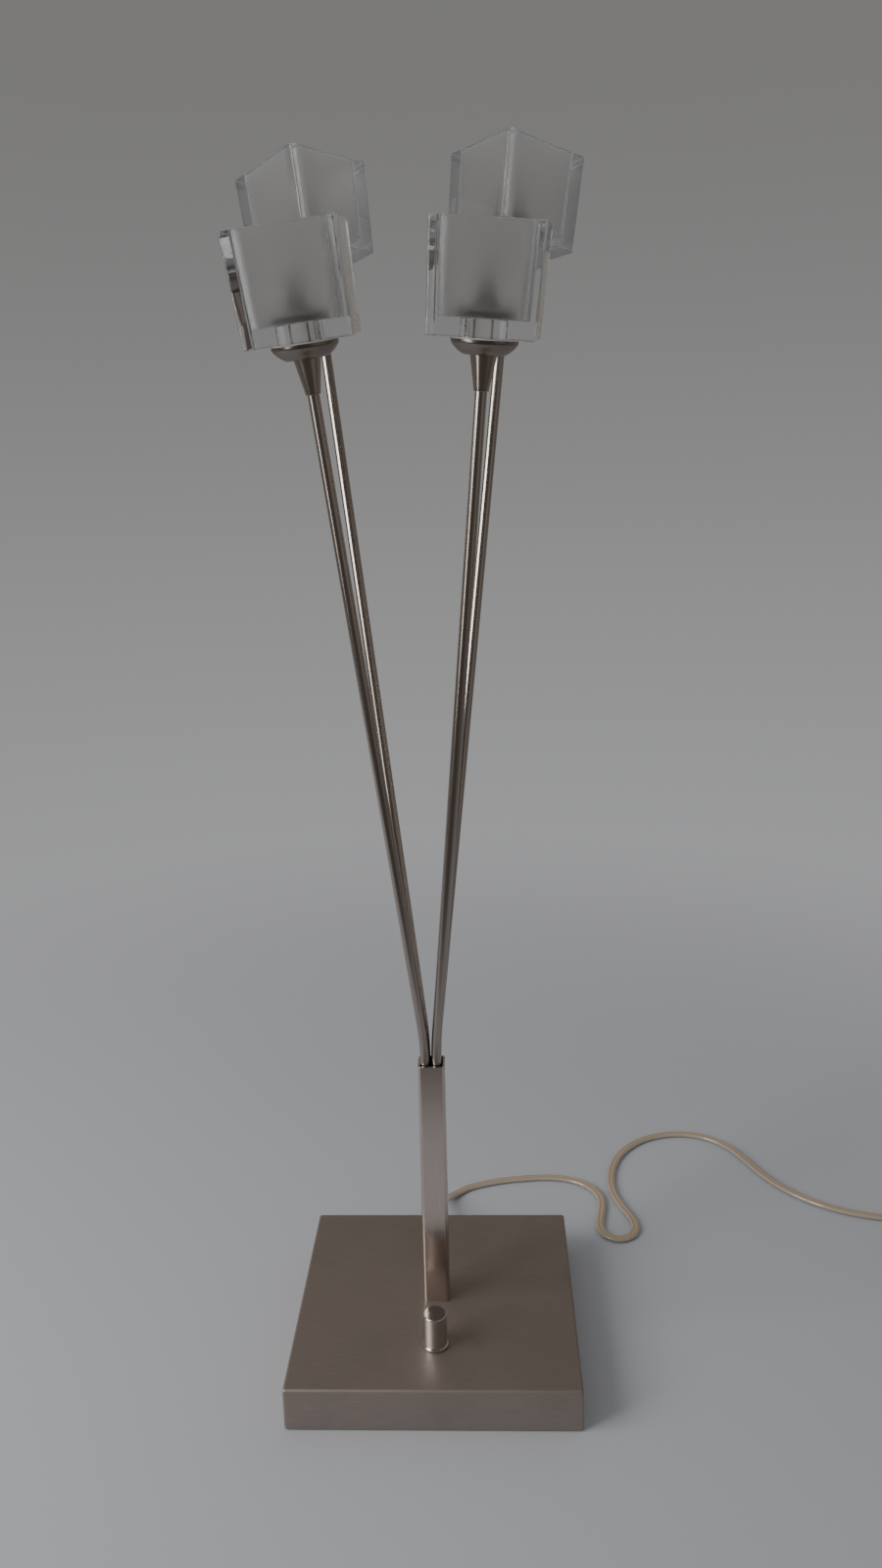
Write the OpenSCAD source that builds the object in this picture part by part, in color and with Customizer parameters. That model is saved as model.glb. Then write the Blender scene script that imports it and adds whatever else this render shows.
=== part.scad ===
// Table lamp: a square weighted base, a square stem, and four bent rods that
// fan out of the stem's open top. Each rod carries a thick square glass shade
// over a low-voltage capsule bulb. A rotary dimmer stands in front of the stem.
// Millimetres. +Z is up, -Y is the front. The origin is the centre of the
// underside, on the surface that the lamp stands on.

/* [Base] */
// Side of the square base
base_w = 160; // [150:1:220]
// Height of the base's top above the surface
base_h = 25; // [24.5:0.5:40]
// Wall of the pressed cover
cover_t = 1.5; // [1:0.1:1.8]
// Radius along the cover's outer edges
cover_r = 1.5; // [0.6:0.1:2.5]
// Drop of the cover's edge below the base plate
skirt = 1; // [0.3:0.1:1.5]
// Thickness of the base plate
plate_t = 1.5; // [1:0.1:2]
// Thickness of the soft pad under the base plate
pad_t = 2; // [1.8:0.1:3]
// Room between the ballast's sides and the cover's posts
ballast_side = 2; // [1:0.5:20]
// Room between the ballast's back edge and the transformer
ballast_back = 13; // [5:0.5:40]
// Height of the ballast
ballast_h = 8; // [4:0.5:8.5]
// Distance of the ballast's front edge from the cover's outer front face
ballast_front = 6; // [3:0.5:8]
// Distance of the terminal block from the cover's outer side face
terminal_side = 20; // [16:0.5:24]

/* [Electrics] */
// Length of the transformer
transformer_w = 76; // [60:1:80]
// Depth of the transformer
transformer_d = 36; // [30:1:38]
// Height of the transformer
transformer_h = 17; // [12:0.5:18]
// Width of the terminal block
terminal_w = 24; // [18:1:26]
// Side of the dimmer's square body
dimmer_w = 16; // [12:0.5:18]
// Height of the dimmer's body
dimmer_h = 9; // [6:0.5:9.5]
// Distance of the dimmer in front of the stem's axis
dimmer_front = 44; // [34:0.5:60]
// Radius of the dimmer's shaft
shaft_r = 2; // [1.5:0.1:2.5]
// Height of the knob above the base
knob_h = 20; // [16:0.5:28]
// Radius of the knob
knob_r = 6.6; // [6.4:0.1:9]
// How far the knob's foot flange stands out past its side
knob_flange = 0.7; // [0.3:0.1:2]

/* [Stem] */
// Width of the square stem tube
stem_w = 15; // [15:0.5:18]
// Length of the stem tube
stem_h = 150; // [110:1:260]
// Wall of the stem tube
stem_t = 1.2; // [0.8:0.1:1.2]
// Radius of the stem's outer corners
stem_r = 2; // [1.3:0.1:3]
// Outer radius of the threaded nipple that holds the stem down
nipple_r = 5; // [4.5:0.1:5.2]
// Bore radius of the nipple
nipple_bore_r = 3.7; // [3:0.1:3.8]

/* [Arms] */
// Radius of each arm's tube
rod_r = 2.75; // [2.2:0.05:2.8]
// Wall of each arm's tube
rod_t = 0.8; // [0.5:0.1:0.9]
// Distance between the axes of neighbouring tubes in the stem
rod_pitch = 6.2; // [6.1:0.1:6.4]
// How far the bundle of tubes stands off the stem's axis
bundle_x = -0.2; // [-0.3:0.1:0.3]
// Length of tube held inside the stem
rod_hold = 75; // [40:1:90]
// Radius of the bend above the stem
bend_r = 120; // [80:5:160]
// Length of each front arm, from the corner of its bend to its shade
front_arm_l = 372; // [300:1:420]
// Length of each back arm, from the corner of its bend to its shade
back_arm_l = 427.5; // [380:0.5:500]
// Lean of the front left arm
front_left_lean_angle = 10.6; // [9:0.1:14]
// Heading of the front left arm, from +X
front_left_heading_angle = -128; // [-140:0.5:-122]
// Turn of the front left shade
front_left_turn_angle = 0; // [-45:1:45]
// Lean of the front right arm
front_right_lean_angle = 9.1; // [9:0.1:14]
// Heading of the front right arm, from +X
front_right_heading_angle = -57.5; // [-60:0.5:-40]
// Turn of the front right shade
front_right_turn_angle = -5; // [-45:1:45]
// Lean of the back left arm
back_left_lean_angle = 11.8; // [9:0.1:14]
// Heading of the back left arm, from +X
back_left_heading_angle = 127.5; // [122:0.5:140]
// Turn of the back left shade
back_left_turn_angle = 47; // [0:1:90]
// Lean of the back right arm
back_right_lean_angle = 9.8; // [9:0.1:14]
// Heading of the back right arm, from +X
back_right_heading_angle = 51.5; // [40:0.5:60]
// Turn of the back right shade
back_right_turn_angle = 37; // [0:1:90]

/* [Shade holder] */
// Radius of the cup's rim
cup_rim_r = 15.2; // [14:0.1:18]
// Radius of the cup's underside
cup_base_r = 11.2; // [9:0.1:13]
// Height of the cup
cup_h = 6.5; // [5:0.5:10]
// Wall of the cup
cup_t = 1.2; // [0.8:0.1:1.6]
// Length of the cone between the arm and the cup
ferrule_l = 15.5; // [10:0.5:24]
// Radius of the cone at the cup
ferrule_top_r = 6.2; // [5:0.1:8]
// Radius of the cone at the arm
ferrule_tip_r = 3.5; // [3.2:0.1:4.5]
// Radius of the threaded collar in the shade's hole
collar_r = 10.5; // [9.5:0.1:12]
// Wall of the collar
collar_t = 2; // [1.2:0.1:2.4]
// Radius of the ring nut over the shade's floor
ring_nut_r = 13.5; // [13:0.1:16]
// Height of the ring nut
ring_nut_h = 3; // [2:0.5:5]
// Thickness of the washer under the shade
washer_t = 0.5; // [0.4:0.1:1.5]
// Radius of the lampholder
holder_r = 7; // [6:0.1:7.3]
// Height of the lampholder above the cup's floor
holder_h = 21; // [18:0.5:23]
// Radius of the bulb
bulb_r = 4.7; // [3.5:0.1:6]
// Height of the bulb above its lampholder
bulb_h = 22; // [16:0.5:24]

/* [Glass shade] */
// Width of the shade at its rim
shade_rim_w = 50; // [46:0.5:60]
// Width of the shade at its underside
shade_foot_w = 47.5; // [44:0.5:56]
// Height of the shade
shade_h = 47.5; // [44:0.5:70]
// Wall of the shade
shade_t = 4.5; // [3:0.1:6]
// Thickness of the shade's floor
shade_floor = 8; // [5:0.5:10]
// Radius of the shade's outer corners
shade_r = 1.2; // [0.5:0.1:3]
// Radius of the hollow's corners
hollow_r = 5; // [2:0.5:10]

/* [Cord] */
// Width of the flat two-core cord
cord_w = 5.4; // [4.8:0.1:5.5]
// Thickness of the cord
cord_t = 3; // [2.4:0.1:3.1]
// Length of the tapered boot at the base
boot_l = 24; // [20:1:40]
// Height of the cord's exit above the surface
exit_z = 10.5; // [10.5:0.5:14]

/* [Hidden] */
$fn = 48;
// Room round a piece that is fitted by hand
fit = 0.25;
// Radial room round a shaft or a threaded piece
play = 0.05;
// Room between a turning piece and what it turns on
seat_gap = 0.3;
// Overlap of one cut past another
past = 1;

// Heights in the base
plate_z = pad_t;
floor_z = plate_z + plate_t;
roof_z = base_h - cover_t;
cover_z = plate_z - skirt;

// Screws: pillar screws, ears' screws and their heads
post_r = 4;
post_inset = 12;
screw_r = 1.95;
screw_l = 12;
head_r = 3.5;
head_h = 1.5;
ear_screw_r = 1.45;
ear_screw_l = 4;
ear_w = 7;
ear_t = 3;
head_room = 1;

// Pieces on the base plate
transformer_back = 17;
transformer_y = base_w / 2 - transformer_back - transformer_d / 2;
ballast_w = base_w - 2 * (post_inset + post_r + ballast_side);
ballast_y = -base_w / 2 + ballast_front;
ballast_d = transformer_y - transformer_d / 2 - ballast_back - ballast_y;
terminal_d = 14;
terminal_h = 10;
terminal_gap = 5;
terminal_x = base_w / 2 - terminal_side - terminal_w / 2;
terminal_pin_r = 1.5;
transformer_x = terminal_x - terminal_w / 2 - terminal_gap - ear_w - transformer_w / 2;

// Stem fixing
nipple_below = 7.5;
plug_h = 15;
washer_r = 10;
washer_h = 1.5;
nut_flat = 14;
nut_h = 5;
stem_z = base_h;
stem_top = base_h + stem_h;
stem_in = stem_w - 2 * stem_t;
stem_in_r = max(stem_r - stem_t, 0.4);
clamp_h = 12;
clamp_drop = 4;
spacer_h = 8;
rod_z = stem_top - rod_hold;
spacer_z = rod_z + 2;
bend_z = stem_top + 1;
bend_steps = 6;
rod_sides = 24;
lead_sides = 8;
splice_h = 10;
splice_gap = 2;

// Dimmer
dimmer_x = 0.5;
bushing_r = 3.5;
bushing_up = 3;
dimmer_nut_r = 5.2;
dimmer_nut_h = 2;
shaft_up = 13;
shaft_down = 8;
knob_room = 0.4;
knob_bead = 0.6;
knob_edge = 0.8;

// Leads
lead_r = 1.2;
mains_r = 1.6;
lead_room = 0.6;
// Room between the mains lead and the posts, drop of the dimmer's lead in front of
// the terminal block, and height of the link's axis above the block's middle
mains_room = 3;
dimmer_lead_out = 4;
link_up = 1;

// Shade holder, measured along the arm from the shade's underside
washer_z = -seat_gap - washer_t;
cup_z = washer_z - cup_h;
cup_floor_z = cup_z + cup_t;
hole_r = collar_r + 0.5;
ring_nut_z = shade_floor + seat_gap;
collar_top = ring_nut_z + ring_nut_h + 1;
holder_z = cup_floor_z;
holder_top = holder_z + holder_h;
pin_r = 0.5;
pin_gap = 4;
pin_in = 7;
pinch_h = 5;
pinch_t = 4;
pinch_in = 0.4;
cup_lip = 1;
washer_in = 0.3;

// Arms: lean, heading, length, turn of the shade, side in X, side in Y
FRONT_LEFT = [front_left_lean_angle, front_left_heading_angle, front_arm_l,
    front_left_turn_angle, -1, -1];
FRONT_RIGHT = [front_right_lean_angle, front_right_heading_angle, front_arm_l,
    front_right_turn_angle, 1, -1];
BACK_LEFT = [back_left_lean_angle, back_left_heading_angle, back_arm_l,
    back_left_turn_angle, -1, 1];
BACK_RIGHT = [back_right_lean_angle, back_right_heading_angle, back_arm_l,
    back_right_turn_angle, 1, 1];
ARMS = [FRONT_LEFT, FRONT_RIGHT, BACK_LEFT, BACK_RIGHT];

// Cord boot
boot_r = 4.5;
boot_tip_r = 3.3;
flange_r = 6.5;
flange_t = 1.5;
flange_edge = 0.5;

// Route of the cord, chosen by hand. Its first two points follow the boot, and the
// rest is laid on the surface.
cord_z = 1.5;
coil_lift = 0.9;
coil_z = coil_lift + cord_t / 2;
base_back = 80;
boot_out = 9;
boot_drop = 0.4;
back_shift = [0, base_w / 2 - base_back, 0];
ROUTE = [
    [0, base_back + boot_l, exit_z],
    [0, base_back + boot_l + boot_out, exit_z - boot_drop],
    [1, 123, 7.4], [4, 132, 4], [9, 140, 2], [17, 147.5, cord_z], [28, 152.5, cord_z],
    [41, 156.5, cord_z], [55, 159, cord_z], [69, 160.5, cord_z], [83, 159.5, cord_z],
    [95, 155, cord_z], [104, 147, cord_z], [109, 136.5, cord_z], [109.5, 125, cord_z],
    [107.5, 113, cord_z], [106, 101, cord_z], [109, 91.5, cord_z], [117, 87, cord_z],
    [125.5, 90.5, cord_z], [129.5, 99, cord_z], [128.5, 110, cord_z], [124, 122.5, cord_z],
    [120, 136, cord_z], [118.5, 150, cord_z], [120, 165, cord_z], [124.5, 181, cord_z],
    [133, 196.5, cord_z], [147, 210.5, cord_z], [164, 218.5, cord_z], [182, 220, cord_z],
    [199, 213.5, cord_z], [212, 200, cord_z], [220.5, 183, cord_z], [228, 165, cord_z],
    [239, 147, cord_z], [254, 131, cord_z], [273, 119, cord_z], [296, 111.5, cord_z],
    [317, 108.5, 1.9], [331, 108, coil_z]];
rings_per_span = 2;
run_sides = 10;

// Coil of the unseen length: two layers, wound inwards and then outwards
coil_c = [337, 70];
coil_r = 38;
coil_step = 6;
coil_rise = 3.6;
turns_in = 3;
turns_climb = 0.5;
turns_out = 2.75;
coil_start = 90;
coil_rings = 24;
coil_sides = 6;
coil_lead = 6;
coil_end_r = coil_radius(turns_in + turns_climb + turns_out);
TAIL = [
    [coil_c[0] + coil_end_r, coil_c[1] - coil_lead, coil_z + coil_rise],
    [376, 54, 5.1], [374, 44, 4.6], [371, 35, 5.1], [369.5, 26, 6.5], [369, 18, 6.8]];

// Plug
plug_z = 6.8;
plug_neck = 17;
plug_l = 38;
plug_w = 35;
plug_t = 13.6;
plug_r = 3;
plug_disc = 1;
plug_step = 1;
plug_pin_r = 2;
plug_pin_gap = 18.6;
plug_pin_l = 19;

// Tie round the coil
tie_w = 6;
tie_t = 0.6;
tie_room = 0.35;
tie_angle = 250;

// ---- Helpers ----

// Square of side w with round corners
module round_square(w, r) {
    offset(r = r, $fn = 32)
        square(w - 2 * r, center = true);
}

// Ring between two radii
module ring(outer, inner) {
    difference() {
        circle(r = outer);
        circle(r = inner);
    }
}

// Tube standing on z
module tube(outer, inner, h, z = 0) {
    translate([0, 0, z])
        linear_extrude(h)
            ring(outer, inner);
}

// Copies at the four corners of a square of half side d
module at_corners(d) {
    for (x = [-d, d], y = [-d, d])
        translate([x, y, 0])
            children();
}

// Copies at the two ears of the transformer
module at_ears() {
    for (s = [-1, 1])
        translate([transformer_x + s * (transformer_w + ear_w) / 2, transformer_y, 0])
            children();
}

// Frame of an arm at the start of its bend, with X the way it leans
module at_bend(arm) {
    translate([bundle_x + arm[4] * rod_pitch / 2, arm[5] * rod_pitch / 2, bend_z])
        rotate([0, 0, arm[1]])
            children();
}

// Frame of an arm at the corner of its bend, with Z along the arm
module along_arm(arm) {
    at_bend(arm)
        translate([0, 0, bend_r * tan(arm[0] / 2)])
            rotate([0, arm[0], 0])
                children();
}

// Frame at an arm's end: the shade's underside, Z outwards, X along its side
module on_arm(arm) {
    along_arm(arm)
        translate([0, 0, arm[2]])
            rotate([0, 0, arm[3] - arm[1]])
                children();
}

// Centreline of an arm: up the stem from low, round the bend in short steps, then
// straight to a point past the shade's underside by end
function arm_line(arm, low, end) =
    let (foot = [bundle_x + arm[4] * rod_pitch / 2, arm[5] * rod_pitch / 2, bend_z],
        side = lean_side(arm), up = [0, 0, 1])
        concat([[foot[0], foot[1], low]],
            [for (k = [0 : bend_steps]) let (a = arm[0] * k / bend_steps)
                foot + side * bend_r * (1 - cos(a)) + up * bend_r * sin(a)],
            [foot + up * bend_r * tan(arm[0] / 2)
                + (side * sin(arm[0]) + up * cos(arm[0])) * (arm[2] + end)]);

// Direction in which an arm leans
function lean_side(arm) = [cos(arm[1]), sin(arm[1]), 0];

// Straight round lead through points, with a ball at each corner
module lead(points, r) {
    for (i = [0 : len(points) - 2]) {
        step = points[i + 1] - points[i];
        translate(points[i])
            rotate([0, acos(step[2] / norm(step)), atan2(step[1], step[0])])
                cylinder(r = r, h = norm(step), $fn = 24);
    }
    if (len(points) > 2)
        for (i = [1 : len(points) - 2])
            translate(points[i])
                sphere(r = r, $fn = 24);
}

// Point of a smooth curve through four points, a share t from the second to the third
function curve(a, b, c, d, t) =
    0.5 * (2 * b + (c - a) * t + (2 * a - 5 * b + 4 * c - d) * pow(t, 2)
        + (3 * b - a - 3 * c + d) * pow(t, 3));

// Route with rings_per_span points along each of its spans
function smooth(p) = concat(
    [for (i = [0 : len(p) - 2], k = [0 : rings_per_span - 1])
        curve(p[max(i - 1, 0)], p[i], p[i + 1], p[min(i + 2, len(p) - 1)], k / rings_per_span)],
    [p[len(p) - 1]]);

// Unit vector
function unit(v) = v / norm(v);

// Heading of a line of points at point i: halfway between its two spans
function heading(p, i) =
    let (n = len(p) - 1, back = p[max(i, 1)] - p[max(i, 1) - 1],
        ahead = p[min(i, n - 1) + 1] - p[min(i, n - 1)])
        unit(unit(back) + unit(ahead));

// Level unit vector to the right of a heading
function across(t) = unit([t[1], -t[0], 0]);

// Points of round rings along a line that bends in one upright plane
function round_rings(p, r, side, sides) =
    [for (i = [0 : len(p) - 1], k = [0 : sides - 1])
        let (a = across(side), u = cross(a, heading(p, i)), w = k * 360 / sides)
            p[i] + r * (a * cos(w) + u * sin(w))];

// Triangles of a wall through rings of points, seen from outside or, flipped, inside
function wall(rings, sides, first = 0, flip = false) =
    [for (i = [0 : rings - 2], k = [0 : sides - 1])
        let (a = first + i * sides + k, b = first + i * sides + (k + 1) % sides)
            each flip ? [[a, b + sides, b], [a, a + sides, b + sides]]
                : [[a, b, b + sides], [a, b + sides, a + sides]]];

// The two flat ends of a solid through rings of points
function ends(rings, sides) =
    [[for (k = [sides - 1 : -1 : 0]) k], [for (k = [0 : sides - 1]) (rings - 1) * sides + k]];

// Triangles between an outer and an inner ring of points, facing back or, flipped, ahead
function rim(outer, inner, sides, flip = false) =
    [for (k = [0 : sides - 1])
        let (a = outer + k, b = outer + (k + 1) % sides, c = inner + k, d = inner + (k + 1) % sides)
            each flip ? [[a, b, d], [a, d, c]] : [[a, d, b], [a, c, d]]];

// Solid round rod along a line
module round_rod(p, r, side, sides) {
    polyhedron(points = round_rings(p, r, side, sides),
        faces = concat(wall(len(p), sides), ends(len(p), sides)), convexity = 4);
}

// Round tube along a line
module round_tube(p, outer, inner, side, sides) {
    n = len(p);
    polyhedron(
        points = concat(round_rings(p, outer, side, sides), round_rings(p, inner, side, sides)),
        faces = concat(wall(n, sides), wall(n, sides, n * sides, true),
            rim(0, n * sides, sides), rim((n - 1) * sides, (2 * n - 1) * sides, sides, true)),
        convexity = 6);
}

// Flat cord swept along points, with its width kept level
module flat_tube(p, sides) {
    corner = 180 / sides;
    reach = 1 / cos(corner);
    top = max([for (k = [0 : sides - 1]) sin(k * 360 / sides + corner)]);
    polyhedron(
        points = [for (i = [0 : len(p) - 1], k = [0 : sides - 1])
            let (t = heading(p, i), a = across(t), u = cross(a, t), w = k * 360 / sides + corner)
                p[i] + a * (cord_w / 2 * min(1, reach * abs(cos(w))) * sign(cos(w)))
                    + u * (cord_t / 2 * sin(w) / top)],
        faces = concat(wall(len(p), sides), ends(len(p), sides)), convexity = 10);
}

// Radius of the coil after t turns: in, on in through the climb, then out again.
// The upper layer's first half turn steps out one more pitch, to clear the climb.
function coil_radius(t) =
    let (turn = turns_in + turns_climb, s = t - turn)
        s < 0 ? coil_r - coil_step * t
            : coil_r - coil_step * turn + coil_step * s + coil_step * min(1, 2 * s);

// Height of the coil after t turns
function coil_height(t) =
    coil_z + coil_rise * min(1, max(0, (t - turns_in) / turns_climb));

// Centreline of the coil, with a straight lead at each end
function coil_line() =
    let (all = turns_in + turns_climb + turns_out, n = round(all * coil_rings))
        concat(
            [[coil_c[0] - coil_lead, coil_c[1] + coil_r, coil_z]],
            [for (i = [0 : n]) let (t = i / coil_rings, a = coil_start - 360 * t)
                [coil_c[0] + coil_radius(t) * cos(a), coil_c[1] + coil_radius(t) * sin(a),
                    coil_height(t)]],
            [TAIL[0]]);

// Length of a line of points
function line_length(p, i = 0) =
    i >= len(p) - 1 ? 0 : norm(p[i + 1] - p[i]) + line_length(p, i + 1);

// Gap between the sections of a level flat cord at two points
function section_gap(a, b) =
    norm([max(0, norm([a[0] - b[0], a[1] - b[1]]) - cord_w), max(0, abs(a[2] - b[2]) - cord_t)]);

// Least gap of the coil to itself, between points at least half a turn apart
function least_gap(p) = min([for (i = [0 : len(p) - 1], j = [i + coil_rings / 2 : len(p) - 1])
    section_gap(p[i], p[j])]);

// ---- Base ----

// Pressed steel cover with four threaded posts for the base plate
module base_cover() {
    edge = base_w / 2 - cover_r;
    color("#8d857e") {
        difference() {
            hull()
                at_corners(edge) {
                    translate([0, 0, cover_z])
                        cylinder(r = cover_r, h = cover_t, $fn = 32);
                    translate([0, 0, base_h - cover_r])
                        sphere(r = cover_r, $fn = 32);
                }
            translate([0, 0, (cover_z - past + roof_z) / 2])
                cube([base_w - 2 * cover_t, base_w - 2 * cover_t, roof_z - cover_z + past],
                    center = true);
            translate([0, 0, roof_z - past])
                cylinder(r = nipple_r + fit, h = cover_t + 2 * past);
            translate([dimmer_x, -dimmer_front, roof_z - past])
                cylinder(r = bushing_r + fit, h = cover_t + 2 * past);
            translate([0, base_w / 2 + past, exit_z])
                rotate([90, 0, 0])
                    cylinder(r = boot_r, h = cover_t + 2 * past);
        }
        at_corners(base_w / 2 - post_inset)
            tube(post_r, screw_r + play, roof_z - floor_z, floor_z);
    }
}

// Steel plate that closes the base
module base_plate() {
    w = base_w - 2 * (cover_t + fit);
    color("#9a9a9a")
        difference() {
            translate([-w / 2, -w / 2, plate_z])
                cube([w, w, plate_t]);
            at_corners(base_w / 2 - post_inset)
                translate([0, 0, plate_z - past])
                    cylinder(r = screw_r + fit, h = plate_t + 2 * past);
            at_ears()
                translate([0, 0, plate_z - past])
                    cylinder(r = ear_screw_r + fit, h = plate_t + 2 * past);
        }
}

// Soft pad under the base plate, with holes round the screw heads
module base_pad() {
    w = base_w - 2 * (cover_t + head_room);
    color("#3b3b3d")
        difference() {
            translate([-w / 2, -w / 2, 0])
                cube([w, w, pad_t]);
            at_corners(base_w / 2 - post_inset)
                translate([0, 0, -past])
                    cylinder(r = head_r + head_room, h = pad_t + 2 * past);
            at_ears()
                translate([0, 0, -past])
                    cylinder(r = head_r + head_room, h = pad_t + 2 * past);
        }
}

// Screw with its head under the base plate
module base_screw(r, l) {
    translate([0, 0, plate_z - head_h])
        cylinder(r = head_r, h = head_h);
    translate([0, 0, plate_z])
        cylinder(r = r, h = plate_t + l);
}

// Screws of the cover's posts and of the transformer's ears
module base_screws() {
    color("#b4b4b4") {
        at_corners(base_w / 2 - post_inset)
            base_screw(screw_r, screw_l);
        at_ears()
            base_screw(ear_screw_r, ear_screw_l);
    }
}

// Steel weight on the base plate
module ballast() {
    color("#55585a")
        translate([-ballast_w / 2, ballast_y, floor_z])
            cube([ballast_w, ballast_d, ballast_h]);
}

// Low-voltage transformer with a fixing ear at each end
module transformer() {
    all = transformer_w + 2 * ear_w;
    color("#2c2d30")
        translate([transformer_x, transformer_y, floor_z])
            difference() {
                union() {
                    translate([-transformer_w / 2, -transformer_d / 2, 0])
                        cube([transformer_w, transformer_d, transformer_h]);
                    translate([-all / 2, -ear_w, 0])
                        cube([all, 2 * ear_w, ear_t]);
                }
                for (s = [-1, 1])
                    translate([s * (transformer_w + ear_w) / 2, 0, -past])
                        cylinder(r = ear_screw_r + play, h = ear_t + 2 * past);
            }
}

// Terminal block for the mains lead
module terminal_block() {
    color("#e6e2d6")
        translate([terminal_x, transformer_y, floor_z])
            difference() {
                translate([-terminal_w / 2, -terminal_d / 2, 0])
                    cube([terminal_w, terminal_d, terminal_h]);
                for (i = [-1 : 1])
                    translate([i * terminal_w / 3, 0, terminal_h / 2])
                        cylinder(r = terminal_pin_r, h = terminal_h);
            }
}

// Dimmer under the base's top, with its threaded bushing through the cover
module dimmer_body() {
    color("#2f3236")
        translate([dimmer_x, -dimmer_front, 0])
            difference() {
                union() {
                    translate([-dimmer_w / 2, -dimmer_w / 2, roof_z - dimmer_h])
                        cube([dimmer_w, dimmer_w, dimmer_h]);
                    translate([0, 0, roof_z - past])
                        cylinder(r = bushing_r, h = cover_t + past + bushing_up);
                }
                translate([0, 0, roof_z - dimmer_h - past])
                    cylinder(r = shaft_r + play, h = dimmer_h + cover_t + bushing_up + 2 * past);
            }
}

// Hexagon nut on the dimmer's bushing, inside the knob
module dimmer_nut() {
    color("#c9c9c9")
        translate([dimmer_x, -dimmer_front, base_h])
            difference() {
                cylinder(r = dimmer_nut_r, h = dimmer_nut_h, $fn = 6);
                translate([0, 0, -past])
                    cylinder(r = bushing_r + play, h = dimmer_nut_h + 2 * past);
            }
}

// Shaft that the knob turns
module dimmer_shaft() {
    color("#c9c9c9")
        translate([dimmer_x, -dimmer_front, base_h - shaft_down])
            cylinder(r = shaft_r, h = shaft_down + shaft_up);
}

// Polished knob with a rounded foot flange and a rounded top edge
module dimmer_knob() {
    foot_r = knob_r + knob_flange;
    pocket_r = dimmer_nut_r + knob_room;
    pocket_h = bushing_up + knob_room;
    bore_h = shaft_up + knob_room;
    color("#d8d4cf")
        translate([dimmer_x, -dimmer_front, base_h])
            rotate_extrude()
                polygon(concat(
                    [[pocket_r, seat_gap], [foot_r, seat_gap]],
                    [for (a = [0 : 30 : 90])
                        [foot_r - knob_bead + knob_bead * cos(a),
                            seat_gap + knob_bead + knob_bead * sin(a)]],
                    [[knob_r, seat_gap + 2 * knob_bead]],
                    [for (a = [0 : 30 : 90])
                        [knob_r - knob_edge + knob_edge * cos(a),
                            knob_h - knob_edge + knob_edge * sin(a)]],
                    [[0, knob_h], [0, bore_h], [shaft_r + play, bore_h],
                        [shaft_r + play, pocket_h], [pocket_r, pocket_h]]));
}

// Leads in the base and the stem: mains, link, dimmer and the rise up the stem
module inner_leads() {
    side_y = base_w / 2 - post_inset + mains_room;
    link_z = floor_z + terminal_h / 2;
    top_z = floor_z + ballast_h + lead_r + lead_room;
    block_back = transformer_y + terminal_d / 2;
    block_front = transformer_y - terminal_d / 2;
    dimmer_z = roof_z - dimmer_h / 2;
    dimmer_side = terminal_x + terminal_w / 4;
    feed_y = transformer_y - transformer_d / 2;
    feed_x = transformer_x / 2;
    color("#d9d2c0") {
        lead([[0, base_w / 2 - cover_t - flange_t, exit_z], [0, side_y, exit_z],
            [terminal_x, side_y, exit_z], [terminal_x, side_y, link_z],
            [terminal_x, block_back, link_z]], mains_r);
        lead([[terminal_x - terminal_w / 2, transformer_y, link_z + link_up],
            [transformer_x + transformer_w / 2, transformer_y, link_z + link_up]], lead_r);
        lead([[dimmer_side, block_front, link_z],
            [dimmer_side, block_front - dimmer_lead_out, link_z],
            [dimmer_side, block_front - dimmer_lead_out, top_z],
            [dimmer_side, -dimmer_front, top_z],
            [dimmer_side, -dimmer_front, dimmer_z],
            [dimmer_x + dimmer_w / 2, -dimmer_front, dimmer_z]], lead_r);
        lead([[feed_x, feed_y, top_z], [feed_x, 0, top_z], [0, 0, top_z],
            [0, 0, rod_z - splice_gap - splice_h]], lead_r);
    }
}

// ---- Stem ----

// Square stem tube, open at its top
module stem_tube() {
    color("#a39a94")
        translate([0, 0, stem_z])
            linear_extrude(stem_h)
                difference() {
                    round_square(stem_w, stem_r);
                    round_square(stem_in, stem_in_r);
                }
}

// Block that fills the stem tube, with its underside at z
module stem_block(h, z) {
    translate([0, 0, z])
        linear_extrude(h)
            round_square(stem_in - 2 * play, stem_in_r);
}

// Threaded block in the foot of the stem
module stem_plug() {
    color("#8c8c8c")
        difference() {
            stem_block(plug_h, stem_z);
            translate([0, 0, stem_z - past])
                cylinder(r = nipple_r + play, h = plug_h + 2 * past);
        }
}

// Hollow threaded nipple from the stem through the cover
module stem_nipple() {
    color("#b8a878")
        tube(nipple_r, nipple_bore_r, nipple_below + cover_t + plug_h, roof_z - nipple_below);
}

// Washer under the base's top
module stem_washer() {
    color("#c0c0c0")
        tube(washer_r, nipple_r + play, washer_h, roof_z - washer_h);
}

// Hexagon nut that pulls the stem down
module stem_nut() {
    color("#c0c0c0")
        translate([0, 0, roof_z - washer_h - nut_h])
            difference() {
                cylinder(r = nut_flat / 2 / cos(30), h = nut_h, $fn = 6);
                translate([0, 0, -past])
                    cylinder(r = nipple_r + play, h = nut_h + 2 * past);
            }
}

// Splice where the arms' leads join the lead up the stem
module splice_block() {
    color("#ddd6c4")
        stem_block(splice_h, rod_z - splice_gap - splice_h);
}

// Block with four bores that holds the arms' tubes
module rod_block(h, z) {
    difference() {
        stem_block(h, z);
        for (arm = ARMS)
            translate([bundle_x + arm[4] * rod_pitch / 2, arm[5] * rod_pitch / 2, z - past])
                cylinder(r = rod_r + play, h = h + 2 * past);
    }
}

// Lower spacer of the arms' tubes
module rod_spacer() {
    color("#26262a")
        rod_block(spacer_h, spacer_z);
}

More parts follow.
